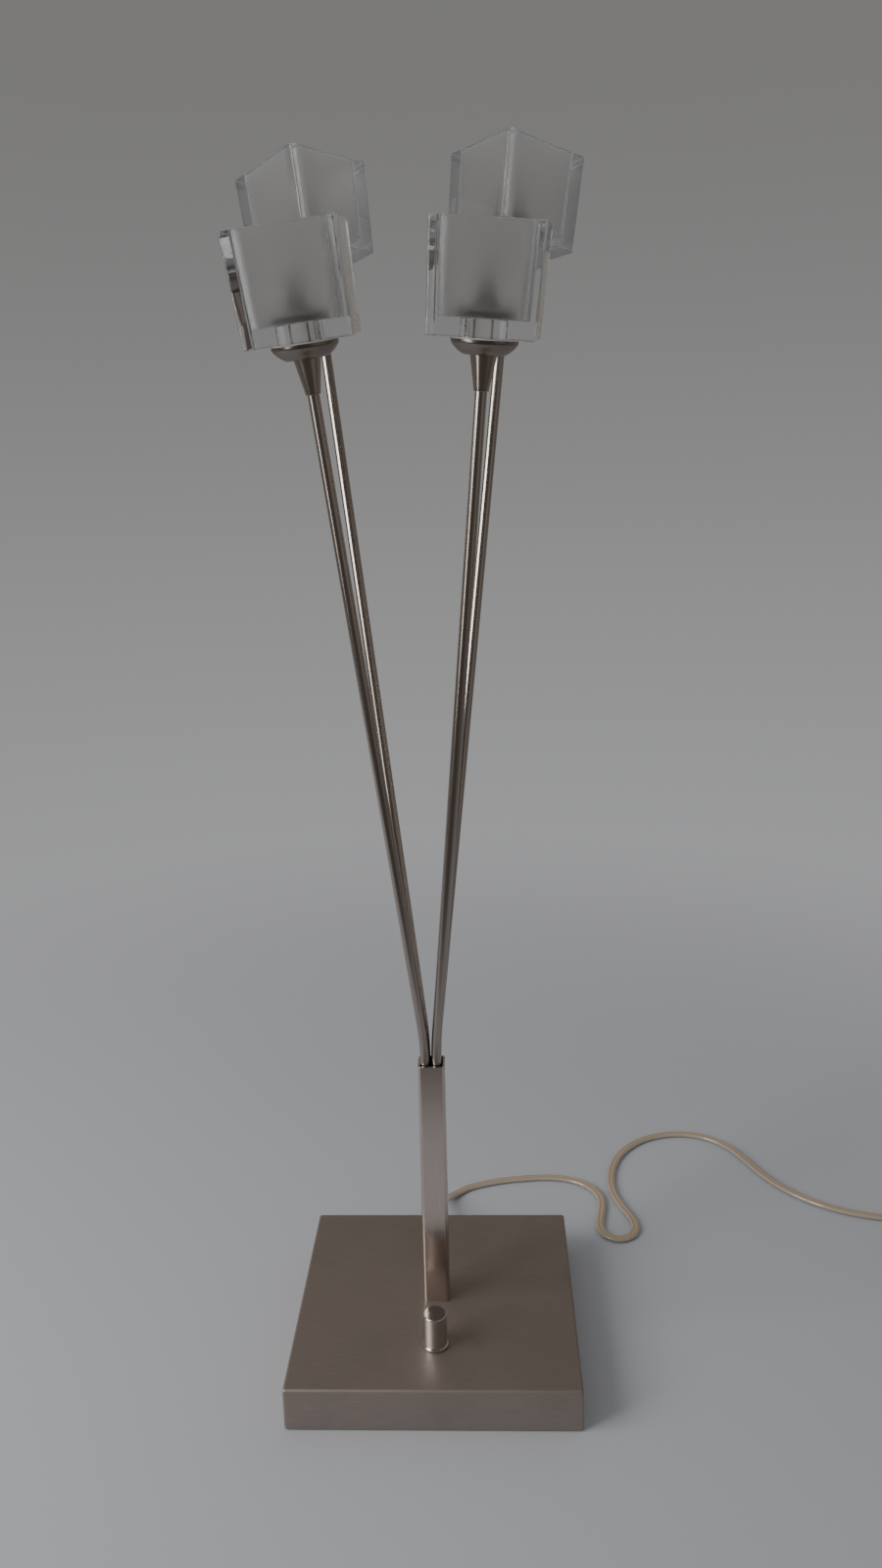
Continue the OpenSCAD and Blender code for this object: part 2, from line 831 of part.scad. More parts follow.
// Clamp of the arms' tubes, set down in the stem's open top
module rod_clamp() {
    color("#26262a")
        rod_block(clamp_h, stem_top - clamp_drop - clamp_h);
}

// ---- Arms and shade holders ----

// Bent tube from the stem to the cup
module arm_tube(arm) {
    color("#a09892")
        round_tube(arm_line(arm, rod_z, cup_floor_z), rod_r, rod_r - rod_t, lean_side(arm), rod_sides);
}

// Lead inside each arm's tube, from the splice to the lampholder
module arm_leads() {
    color("#d9d2c0")
        for (arm = ARMS)
            round_rod(arm_line(arm, rod_z - splice_gap, holder_z), lead_r, lean_side(arm), lead_sides);
}

// Cone between the arm and the cup
module ferrule() {
    color("#a09892")
        rotate_extrude()
            polygon([[rod_r + play, cup_z - ferrule_l], [ferrule_tip_r, cup_z - ferrule_l],
                [ferrule_top_r, cup_z], [rod_r + play, cup_z]]);
}

// Shallow cup under the shade
module cup() {
    color("#a09892")
        rotate_extrude()
            polygon([[rod_r + play, cup_z], [cup_base_r, cup_z],
                [cup_rim_r, washer_z - cup_lip], [cup_rim_r, washer_z],
                [cup_rim_r - cup_t, washer_z], [cup_rim_r - cup_t, washer_z - cup_lip],
                [cup_base_r - cup_t / 2, cup_floor_z], [rod_r + play, cup_floor_z]]);
}

// Polished collar that stands in the cup and passes through the shade
module collar() {
    color("#e2dfda")
        tube(collar_r, collar_r - collar_t, collar_top - cup_floor_z, cup_floor_z);
}

// Ring nuts on the collars, over the shades' floors
module ring_nuts() {
    color("#2c2d30")
        for (arm = ARMS)
            on_arm(arm)
                tube(ring_nut_r, collar_r + play, ring_nut_h, ring_nut_z);
}

// Washers on the cups' rims, under the shades
module seat_washers() {
    color("#e8e4dc")
        for (arm = ARMS)
            on_arm(arm)
                tube(cup_rim_r - washer_in, collar_r + fit, washer_t, washer_z);
}

// Lampholder with two sockets for the bulb's pins
module lampholder() {
    color("#3f3a36")
        difference() {
            translate([0, 0, holder_z])
                cylinder(r = holder_r, h = holder_h);
            for (s = [-1, 1])
                translate([s * pin_gap / 2, 0, holder_top - pin_in])
                    cylinder(r = pin_r + play, h = pin_in + past, $fn = 24);
        }
}

// Capsule bulb: a flat pinch below a round envelope
module bulb() {
    color("#eef2f4")
        translate([0, 0, holder_top]) {
            translate([-bulb_r + pinch_in, -pinch_t / 2, 0])
                cube([2 * (bulb_r - pinch_in), pinch_t, pinch_h]);
            translate([0, 0, pinch_h])
                cylinder(r = bulb_r, h = bulb_h - pinch_h - bulb_r);
            translate([0, 0, bulb_h - bulb_r])
                sphere(r = bulb_r);
        }
}

// Pins under each bulb's pinch
module bulb_pins() {
    color("#c8c8c8")
        for (arm = ARMS, s = [-1, 1])
            on_arm(arm)
                translate([s * pin_gap / 2, 0, holder_top - pin_in])
                    cylinder(r = pin_r, h = pin_in, $fn = 24);
}

// Thick square shade, flared to its rim, with a frosted hollow and a clear floor
module shade() {
    hollow_foot = shade_foot_w - 2 * shade_t;
    hollow_rim = shade_rim_w - 2 * shade_t;
    flare = (hollow_rim - hollow_foot) / shade_h;
    low = hollow_foot + flare * shade_floor;
    high = hollow_rim + flare * past;
    color("#dfe4e6", 0.6)
        difference() {
            linear_extrude(shade_h, scale = shade_rim_w / shade_foot_w)
                round_square(shade_foot_w, shade_r);
            translate([0, 0, shade_floor])
                linear_extrude(shade_h - shade_floor + past, scale = high / low)
                    round_square(low, hollow_r);
            translate([0, 0, -past])
                cylinder(r = hole_r, h = shade_floor + 2 * past);
        }
}

// ---- Cord ----

// Moulded boot that grips the cover's back wall and tapers along the cord
module cord_boot() {
    inside = cover_t + flange_t;
    color("#cdb98c")
        translate([0, base_w / 2 - inside, exit_z])
            rotate([-90, 0, 0])
                rotate_extrude()
                    polygon([[0, 0], [flange_r, 0], [flange_r, flange_t], [boot_r, flange_t],
                        [boot_r, inside], [flange_r, inside], [flange_r, inside + flange_t],
                        [boot_r, inside + flange_t + flange_edge], [boot_tip_r, inside + boot_l],
                        [0, inside + boot_l]]);
}

// Cord from the boot to the coil
module cord_run() {
    color("#cdb98c")
        flat_tube(smooth(ROUTE), run_sides);
}

// Coil of the cord's unseen length
module cord_coil() {
    color("#cdb98c")
        flat_tube(coil_line(), coil_sides);
}

// Cord from the coil to the plug
module cord_tail() {
    color("#cdb98c")
        flat_tube(smooth(TAIL), run_sides);
}

// Flat tie round all the turns of the coil
module cord_tie() {
    low = coil_radius(turns_in + turns_climb) - cord_w / 2 - tie_room;
    high = coil_end_r + cord_w / 2 + tie_room;
    tall = coil_z + coil_rise + cord_t / 2 + tie_room - tie_t;
    color("#2a2a2a")
        translate([coil_c[0], coil_c[1], 0])
            rotate([0, 0, tie_angle])
                difference() {
                    translate([low - tie_t, -tie_w / 2, 0])
                        cube([high - low + 2 * tie_t, tie_w, tall + 2 * tie_t]);
                    translate([low, -tie_w / 2 - past, tie_t])
                        cube([high - low, tie_w + 2 * past, tall]);
                }
}

// Frame of the plug: origin at the cord's entry, X towards the pins
module at_plug() {
    translate(TAIL[len(TAIL) - 1])
        rotate([0, 0, -90])
            children();
}

// Flat two-pole plug with a tapered neck
module plug_body() {
    color("#e9e4d8")
        at_plug() {
            hull() {
                rotate([0, 90, 0])
                    cylinder(r = boot_tip_r, h = plug_disc, $fn = 32);
                translate([plug_neck, 0, 0])
                    rotate([0, 90, 0])
                        cylinder(r = plug_t / 2 - plug_step, h = plug_disc, $fn = 32);
            }
            translate([0, 0, -plug_t / 2])
                linear_extrude(plug_t)
                    hull() {
                        translate([plug_neck, -plug_w / 4])
                            square([plug_disc, plug_w / 2]);
                        for (s = [-1, 1])
                            translate([plug_l - plug_r, s * (plug_w / 2 - plug_r)])
                                circle(r = plug_r, $fn = 32);
                    }
        }
}

// Two round pins of the plug
module plug_pins() {
    color("#cfc9b4")
        at_plug()
            for (s = [-1, 1])
                translate([plug_l, s * plug_pin_gap / 2, 0]) {
                    rotate([0, 90, 0])
                        cylinder(r = plug_pin_r, h = plug_pin_l - plug_pin_r);
                    translate([plug_pin_l - plug_pin_r, 0, 0])
                        sphere(r = plug_pin_r);
                }
}

echo(coil_least_gap = least_gap(coil_line()));
echo(cord_length = line_length(smooth(ROUTE)) + line_length(coil_line())
    + line_length(smooth(TAIL)));

base_cover();
base_plate();
base_pad();
base_screws();
ballast();
transformer();
terminal_block();
dimmer_body();
dimmer_nut();
dimmer_shaft();
dimmer_knob();
inner_leads();
stem_tube();
stem_plug();
stem_nipple();
stem_washer();
stem_nut();
splice_block();
rod_spacer();
rod_clamp();
arm_leads();
seat_washers();
ring_nuts();
bulb_pins();
arm_tube(FRONT_LEFT);  // arm_front_left
arm_tube(FRONT_RIGHT);  // arm_front_right
arm_tube(BACK_LEFT);  // arm_back_left
arm_tube(BACK_RIGHT);  // arm_back_right
on_arm(FRONT_LEFT) ferrule();  // ferrule_front_left
on_arm(FRONT_RIGHT) ferrule();  // ferrule_front_right
on_arm(BACK_LEFT) ferrule();  // ferrule_back_left
on_arm(BACK_RIGHT) ferrule();  // ferrule_back_right
on_arm(FRONT_LEFT) cup();  // cup_front_left
on_arm(FRONT_RIGHT) cup();  // cup_front_right
on_arm(BACK_LEFT) cup();  // cup_back_left
on_arm(BACK_RIGHT) cup();  // cup_back_right
on_arm(FRONT_LEFT) collar();  // collar_front_left
on_arm(FRONT_RIGHT) collar();  // collar_front_right
on_arm(BACK_LEFT) collar();  // collar_back_left
on_arm(BACK_RIGHT) collar();  // collar_back_right
on_arm(FRONT_LEFT) lampholder();  // lampholder_front_left
on_arm(FRONT_RIGHT) lampholder();  // lampholder_front_right
on_arm(BACK_LEFT) lampholder();  // lampholder_back_left
on_arm(BACK_RIGHT) lampholder();  // lampholder_back_right
on_arm(FRONT_LEFT) bulb();  // bulb_front_left
on_arm(FRONT_RIGHT) bulb();  // bulb_front_right
on_arm(BACK_LEFT) bulb();  // bulb_back_left
on_arm(BACK_RIGHT) bulb();  // bulb_back_right
on_arm(FRONT_LEFT) shade();  // shade_front_left
on_arm(FRONT_RIGHT) shade();  // shade_front_right
on_arm(BACK_LEFT) shade();  // shade_back_left
on_arm(BACK_RIGHT) shade();  // shade_back_right
cord_boot();
translate(back_shift) cord_run();
translate(back_shift) cord_coil();
translate(back_shift) cord_tail();
translate(back_shift) cord_tie();
translate(back_shift) plug_body();
translate(back_shift) plug_pins();
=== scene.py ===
"""Visual model of a four-light table lamp on a square weighted base.

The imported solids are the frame. The script lays the cord, models the pieces whose
surfaces need more than the solids give, and dresses every piece. All lengths are
in metres, +Z is up and -Y is the front.
"""

import logging
import math
from dataclasses import dataclass
from enum import Enum
from typing import Any, Callable, Iterable, Optional, Union

import bmesh
import bpy
from mathutils import Matrix, Vector


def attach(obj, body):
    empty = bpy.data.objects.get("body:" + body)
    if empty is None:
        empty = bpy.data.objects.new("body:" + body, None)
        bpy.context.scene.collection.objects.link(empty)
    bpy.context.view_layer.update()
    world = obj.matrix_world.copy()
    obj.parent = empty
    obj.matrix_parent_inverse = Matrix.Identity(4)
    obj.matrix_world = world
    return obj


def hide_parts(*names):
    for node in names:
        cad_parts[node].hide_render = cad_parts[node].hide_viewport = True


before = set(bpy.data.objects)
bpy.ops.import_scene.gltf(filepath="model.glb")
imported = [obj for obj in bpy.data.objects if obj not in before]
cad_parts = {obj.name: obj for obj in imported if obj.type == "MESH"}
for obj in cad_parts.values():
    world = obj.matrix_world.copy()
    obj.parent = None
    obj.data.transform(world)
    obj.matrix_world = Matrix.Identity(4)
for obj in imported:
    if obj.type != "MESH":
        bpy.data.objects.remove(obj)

LOG = logging.getLogger("lamp")
Colour = tuple[float, float, float]
Triple = tuple[float, float, float]
Pair = tuple[float, float]
Test = Callable[[Vector, Vector], bool]
MM = 0.001
NEAR = 1e-5
DIMMER_AT = (0.5 * MM, -44.0 * MM)
CORD_MAP = "cord"


class Body(Enum):
    """The bodies of the frame, which move apart from each other."""

    BASE = "base"
    KNOB = "knob"
    FRONT_LEFT = "front_left_shade"
    FRONT_RIGHT = "front_right_shade"
    BACK_LEFT = "back_left_shade"
    BACK_RIGHT = "back_right_shade"


class Element(Enum):
    """What a selection in edit mode is made of."""

    FACE = "FACE"
    EDGE = "EDGE"


# ---- Shader terms ----


class Term:
    """A shader socket on which Python's operators add Math nodes."""

    def __init__(self, shader: "Shader", socket: bpy.types.NodeSocket) -> None:
        """Keeps the socket and the shader that it belongs to."""
        self.shader = shader
        self.socket = socket

    def math(self, operation: str, *values: "Input") -> "Term":
        """Adds a Math node.

        Args:
            operation: The node's operation.
            values: Its inputs in order.

        Returns:
            The node's result.
        """
        return self.shader.node(
            "ShaderNodeMath", {"operation": operation}, dict(enumerate(values))
        )

    def __add__(self, other: "Input") -> "Term":
        """Sum."""
        return self.math("ADD", self, other)

    def __radd__(self, other: "Input") -> "Term":
        """Sum, with this term on the right."""
        return self.math("ADD", other, self)

    def __sub__(self, other: "Input") -> "Term":
        """Difference."""
        return self.math("SUBTRACT", self, other)

    def __rsub__(self, other: "Input") -> "Term":
        """Difference, with this term on the right."""
        return self.math("SUBTRACT", other, self)

    def __mul__(self, other: "Input") -> "Term":
        """Product."""
        return self.math("MULTIPLY", self, other)

    def __rmul__(self, other: "Input") -> "Term":
        """Product, with this term on the right."""
        return self.math("MULTIPLY", other, self)

    def __truediv__(self, other: "Input") -> "Term":
        """Quotient."""
        return self.math("DIVIDE", self, other)

    def __abs__(self) -> "Term":
        """Absolute value."""
        return self.math("ABSOLUTE", self)

    def sine(self) -> "Term":
        """Sine of the value in radians."""
        return self.math("SINE", self)

    def largest(self, other: "Input") -> "Term":
        """The larger of two values."""
        return self.math("MAXIMUM", self, other)

    def ramp(self, low: float, high: float) -> "Term":
        """Smooth step from 0 to 1, or from 1 to 0 as the value grows where low is higher.

        Args:
            low: Value where the step is 0.
            high: Value where the step is 1.

        Returns:
            The step's height.
        """
        rising = high > low
        return self.shader.node(
            "ShaderNodeMapRange",
            {"interpolation_type": "SMOOTHSTEP"},
            {
                "Value": self,
                "From Min": low if rising else high,
                "From Max": high if rising else low,
                "To Min": 0.0 if rising else 1.0,
                "To Max": 1.0 if rising else 0.0,
            },
        )


Input = Union[float, Triple, Term]


class Shader:
    """A node tree, with one method that adds any node."""

    def __init__(self, tree: bpy.types.NodeTree) -> None:
        """Empties the tree."""
        self.tree = tree
        tree.nodes.clear()

    def feed(self, socket: bpy.types.NodeSocket, value: Input) -> None:
        """Links a term to a socket, or sets a number, colour or vector on it.

        Args:
            socket: The input socket.
            value: What goes into it.
        """
        if isinstance(value, Term):
            self.tree.links.new(value.socket, socket)
        elif socket.type == "RGBA" and len(value) == 3:
            socket.default_value = (*value, 1.0)
        else:
            socket.default_value = value

    def node(
        self,
        kind: str,
        settings: Optional[dict[str, Any]] = None,
        values: Optional[dict[Union[int, str], Input]] = None,
        out: Union[int, str] = 0,
    ) -> Term:
        """Adds a node.

        Args:
            kind: The node's type.
            settings: Its settings, which are set first.
            values: Values or links of its input sockets, by name or number.
            out: The output socket that is wanted.

        Returns:
            The wanted output.
        """
        made = self.tree.nodes.new(kind)
        for key, setting in (settings or {}).items():
            setattr(made, key, setting)
        for key, value in (values or {}).items():
            self.feed(made.inputs[key], value)
        return Term(self, made.outputs[out])

    def place(self) -> Term:
        """Place on the piece, in metres."""
        return self.node("ShaderNodeTexCoord", out="Object")

    def distance(self, centre: Triple) -> Term:
        """Distance from a point to the place on the piece, in metres."""
        values = {0: self.place(), 1: centre}
        return self.node("ShaderNodeVectorMath", {"operation": "DISTANCE"}, values, "Value")

    def split(self, vector: Term) -> tuple[Term, Term, Term]:
        """Takes a vector apart.

        Args:
            vector: The vector.

        Returns:
            Its three parts.
        """
        first = self.node("ShaderNodeSeparateXYZ", values={0: vector})
        outputs = first.socket.node.outputs
        return first, Term(self, outputs[1]), Term(self, outputs[2])

    def noise(self, size: float, vector: Optional[Term] = None, detail: float = 3.0) -> Term:
        """Noise from 0 to 1.

        Args:
            size: Size of its blotches in metres, or in units of the vector.
            vector: Where it is read; the place on the piece if left out.
            detail: Number of finer layers.

        Returns:
            The noise's value.
        """
        return self.node(
            "ShaderNodeTexNoise",
            values={"Vector": vector or self.place(), "Scale": 1.0 / size, "Detail": detail},
        )

    def mix(self, share: Input, first: Input, second: Input) -> Term:
        """Blend of two colours.

        Args:
            share: Share of the second colour.
            first: Colour at 0.
            second: Colour at 1.

        Returns:
            The blended colour.
        """
        return self.node(
            "ShaderNodeMix", {"data_type": "RGBA"}, {0: share, 6: first, 7: second}, 2
        )

    def bump(self, height: Input, strength: float, depth: float) -> Term:
        """Normal of a relief.

        Args:
            height: The relief, from 0 to 1.
            strength: How much of it shows.
            depth: Its height in metres.

        Returns:
            The normal.
        """
        return self.node(
            "ShaderNodeBump",
            values={"Strength": strength, "Distance": depth, "Height": height},
            out="Normal",
        )

    def surface(self, values: dict[str, Input]) -> None:
        """Ends the tree in a Principled surface with these values."""
        bsdf = self.node("ShaderNodeBsdfPrincipled", values=values, out="BSDF")
        self.end("ShaderNodeOutputMaterial", bsdf)

    def end(self, kind: str, surface: Term) -> None:
        """Adds the output node, which has no output of its own, and feeds it."""
        self.feed(self.tree.nodes.new(kind).inputs["Surface"], surface)


# ---- Finishes ----


@dataclass(frozen=True)
class Finish:
    """A material that is made once and shared by the pieces that have it."""

    name: str
    colour: Colour
    roughness: float

    def dress(self, shader: Shader) -> None:
        """Builds the nodes in the material's tree."""
        raise NotImplementedError

    def darker(self, share: float) -> Colour:
        """The finish's colour with this share of its light."""
        return tuple(share * part for part in self.colour)

    def material(self) -> bpy.types.Material:
        """Gives the material, and makes it the first time that it is asked for.

        Returns:
            The material.
        """
        found = bpy.data.materials.get(self.name)
        if found is None:
            found = bpy.data.materials.new(self.name)
            found.use_nodes = True
            self.dress(Shader(found.node_tree))
        return found


@dataclass(frozen=True)
class BrushedMetal(Finish):
    """Satin metal with a fine directional grain, soft clouding and a slight tarnish.

    The grain is a box of noise in metres, long along the brushing, and turn and
    centre set it on the piece.
    """

    grain: Triple = (0.012, 0.00025, 0.00025)
    turn: Triple = (0.0, 0.0, 0.0)
    centre: Triple = (0.0, 0.0, 0.0)
    depth: float = 1.5e-6
    cloud: float = 0.05
    shade: float = 0.82
    grain_share: float = 0.6
    grain_spread: float = 0.12
    cloud_spread: float = 0.06
    relief: float = 0.12

    def dress(self, shader: Shader) -> None:
        """Builds the grain, the clouding and the slight tarnish.

        Args:
            shader: The material's tree.
        """
        along = shader.node(
            "ShaderNodeMapping",
            {"vector_type": "TEXTURE"},
            {
                "Vector": shader.place(),
                "Location": self.centre,
                "Rotation": self.turn,
                "Scale": self.grain,
            },
        )
        streaks = shader.noise(1.0, along, 3.0)
        cloud = shader.noise(self.cloud, detail=3.0)
        tarnish = (
            cloud.ramp(0.4, 0.7) * (1.0 - self.grain_share)
            + streaks.ramp(0.35, 0.7) * self.grain_share
        )
        shader.surface(
            {
                "Base Color": shader.mix(tarnish, self.colour, self.darker(self.shade)),
                "Metallic": 1.0,
                "Roughness": self.roughness
                + (streaks - 0.5) * self.grain_spread
                + (cloud - 0.5) * self.cloud_spread,
                "Normal": shader.bump(streaks, self.relief, self.depth),
            }
        )


@dataclass(frozen=True)
class PolishedMetal(Finish):
    """Bright plating with faint wipe marks."""

    smear: float = 0.012
    smear_share: float = 0.3
    smear_spread: float = 0.06
    pit: float = 0.0005
    pit_depth: float = 2e-6

    def dress(self, shader: Shader) -> None:
        """Builds the plating with its wipe marks and pin-point pits.

        Args:
            shader: The material's tree.
        """
        marks = shader.noise(self.smear, detail=5.0)
        pits = shader.noise(self.pit, detail=2.0)
        wiped = marks.ramp(0.45, 0.8) * self.smear_share
        shader.surface(
            {
                "Base Color": shader.mix(wiped, self.colour, self.darker(0.8)),
                "Metallic": 1.0,
                "Roughness": self.roughness + marks.ramp(0.4, 0.75) * self.smear_spread,
                "Normal": shader.bump(pits, 0.08, self.pit_depth),
            }
        )


@dataclass(frozen=True)
class Moulded(Finish):
    """Plastic, rubber, ceramic or iron with a fine skin and mottled colour."""

    grain: float = 0.0004
    depth: float = 1e-5
    mottle: float = 0.15
    blotch: float = 0.014
    coat: float = 0.0

    def dress(self, shader: Shader) -> None:
        """Builds the mottled colour and the fine skin.

        Args:
            shader: The material's tree.
        """
        blotch = shader.noise(self.blotch, detail=4.0)
        skin = shader.noise(self.grain, detail=3.0)
        darker = self.darker(1.0 - self.mottle)
        shader.surface(
            {
                "Base Color": shader.mix(blotch.ramp(0.3, 0.7), self.colour, darker),
                "Roughness": self.roughness + (skin - 0.5) * 0.12 + (blotch - 0.5) * 0.08,
                "Coat Weight": self.coat,
                "Normal": shader.bump(skin, 0.4, self.depth),
            }
        )


@dataclass(frozen=True)
class Glass(Finish):
    """Glass with a polished or a sand-blasted surface."""

    blast: float = 0.0
    ior: float = 1.5
    smear: float = 0.02
    grit: float = 0.00025
    grit_depth: float = 6e-6

    def dress(self, shader: Shader) -> None:
        """Builds the clear body and the surface's fine relief.

        Args:
            shader: The material's tree.
        """
        smear = shader.noise(self.smear, detail=3.0)
        grit = shader.noise(self.grit, detail=2.0)
        shader.surface(
            {
                "Base Color": self.colour,
                "Roughness": self.roughness + smear.ramp(0.5, 0.85) * (0.02 + 0.1 * self.blast),
                "IOR": self.ior,
                "Transmission Weight": 1.0,
                "Normal": shader.bump(grit, 0.02 + 0.5 * self.blast, self.grit_depth),
            }
        )


@dataclass(frozen=True)
class ClearCord(Finish):
    """Clear gold sheath over two stranded copper cores, read from the cord's UV map.

    U runs across the cord from 0 to 1 and V along it in metres.
    """

    strand: Colour = (0.24, 0.14, 0.06)
    core_at: float = 0.222
    core_half: float = 0.13
    lay: float = 0.011
    lean: float = 0.9
    strand_depth: float = 4e-5

    def dress(self, shader: Shader) -> None:
        """Builds the strands of both cores under the glossy sheath.

        Args:
            shader: The material's tree.
        """
        across, along, _ = shader.split(shader.node("ShaderNodeUVMap", {"uv_map": CORD_MAP}))
        off = abs(abs(across - 0.5) - self.core_at) / self.core_half
        core = off.ramp(1.15, 0.75)
        twist = (along / self.lay + (abs(across - 0.5) / self.core_half) * self.lean) * math.tau
        strands = (twist * 3.0).sine() * 0.5 + 0.5
        haze = shader.noise(0.006, detail=3.0)
        copper = shader.mix(strands * 0.7, self.strand, tuple(2.4 * c for c in self.strand))
        shader.surface(
            {
                "Base Color": shader.mix(core * (0.86 - haze * 0.2), self.colour, copper),
                "Roughness": self.roughness + haze * 0.08,
                "Coat Weight": 1.0,
                "Coat Roughness": 0.06,
                "Coat IOR": 1.54,
                "Normal": shader.bump(strands * core, 0.15, self.strand_depth),
            }
        )


POLISHED = PolishedMetal("polished_nickel", (0.60, 0.555, 0.505), 0.11)
SATIN_BASE = BrushedMetal("satin_nickel_base", (0.405, 0.344, 0.310), 0.57)
SATIN_TUBE = BrushedMetal(
    "satin_nickel_stem", (0.64, 0.555, 0.505), 0.21, grain=(0.00025, 0.00025, 0.02), shade=0.88
)
SATIN_TURNED = (0.42, 0.365, 0.325)
# Darker copy of the turned parts' satin nickel for the cups: painted shade under the glass shades.
SATIN_CUP_PAINTED_SHADE = BrushedMetal(
    "satin_nickel_cup", (0.30, 0.258, 0.23), 0.3, grain=(0.0004, 0.0004, 0.0004)
)
ZINC = BrushedMetal("zinc_steel", (0.58, 0.59, 0.60), 0.38)
YELLOW_ZINC = BrushedMetal("yellow_zinc", (0.66, 0.56, 0.34), 0.34, (0.0003, 0.0003, 0.004))
IRON = Moulded("ballast_iron", (0.12, 0.125, 0.13), 0.6, grain=0.0012, depth=8e-5)
PAD = Moulded("black_pad", (0.03, 0.03, 0.032), 0.85, grain=0.0006, depth=6e-5)
BLACK = Moulded("black_plastic", (0.035, 0.035, 0.04), 0.5)
CREAM = Moulded("cream_plastic", (0.72, 0.68, 0.58), 0.45, mottle=0.06)
SLEEVE = Moulded("lead_sleeve", (0.70, 0.64, 0.52), 0.4, mottle=0.08)
SILICONE = Moulded("silicone", (0.74, 0.72, 0.68), 0.35, mottle=0.05)
PIN = PolishedMetal("pin_metal", (0.70, 0.68, 0.62), 0.16)
TUNGSTEN = BrushedMetal("tungsten", (0.16, 0.155, 0.15), 0.4, grain=(0.0002, 0.0002, 0.001))
# Lampholder colour: partly a dark ceramic, partly painted shade for the shadow inside the glass
# shade.
CERAMIC_WITH_PAINTED_SHADE = Moulded("ceramic", (0.11, 0.1, 0.09), 0.6, grain=0.0005, depth=2e-5, mottle=0.12)
QUARTZ = Glass("quartz", (0.98, 0.985, 0.99), 0.0, ior=1.46)
CLEAR_GLASS = Glass("clear_glass", (0.97, 0.975, 0.98), 0.0)
FROSTED_GLASS = Glass("frosted_glass", (0.845, 0.826, 0.804), 0.55, blast=0.8)
CORD_SHEATH = ClearCord("clear_gold_cord", (0.36, 0.315, 0.25), 0.22)
BOOT_SHEATH = Moulded(
    "clear_gold_boot", (0.42, 0.355, 0.26), 0.28, grain=0.001, mottle=0.1, coat=0.6
)
STRAP = Moulded("tie_strap", (0.03, 0.03, 0.03), 0.6, grain=0.0005, depth=5e-5)
PLUG = Moulded("plug_plastic", (0.74, 0.70, 0.61), 0.32, mottle=0.05)
PIN_SLEEVE = Moulded("pin_sleeve", (0.10, 0.10, 0.10), 0.4, mottle=0.1)


# ---- Bench: modelling moves ----


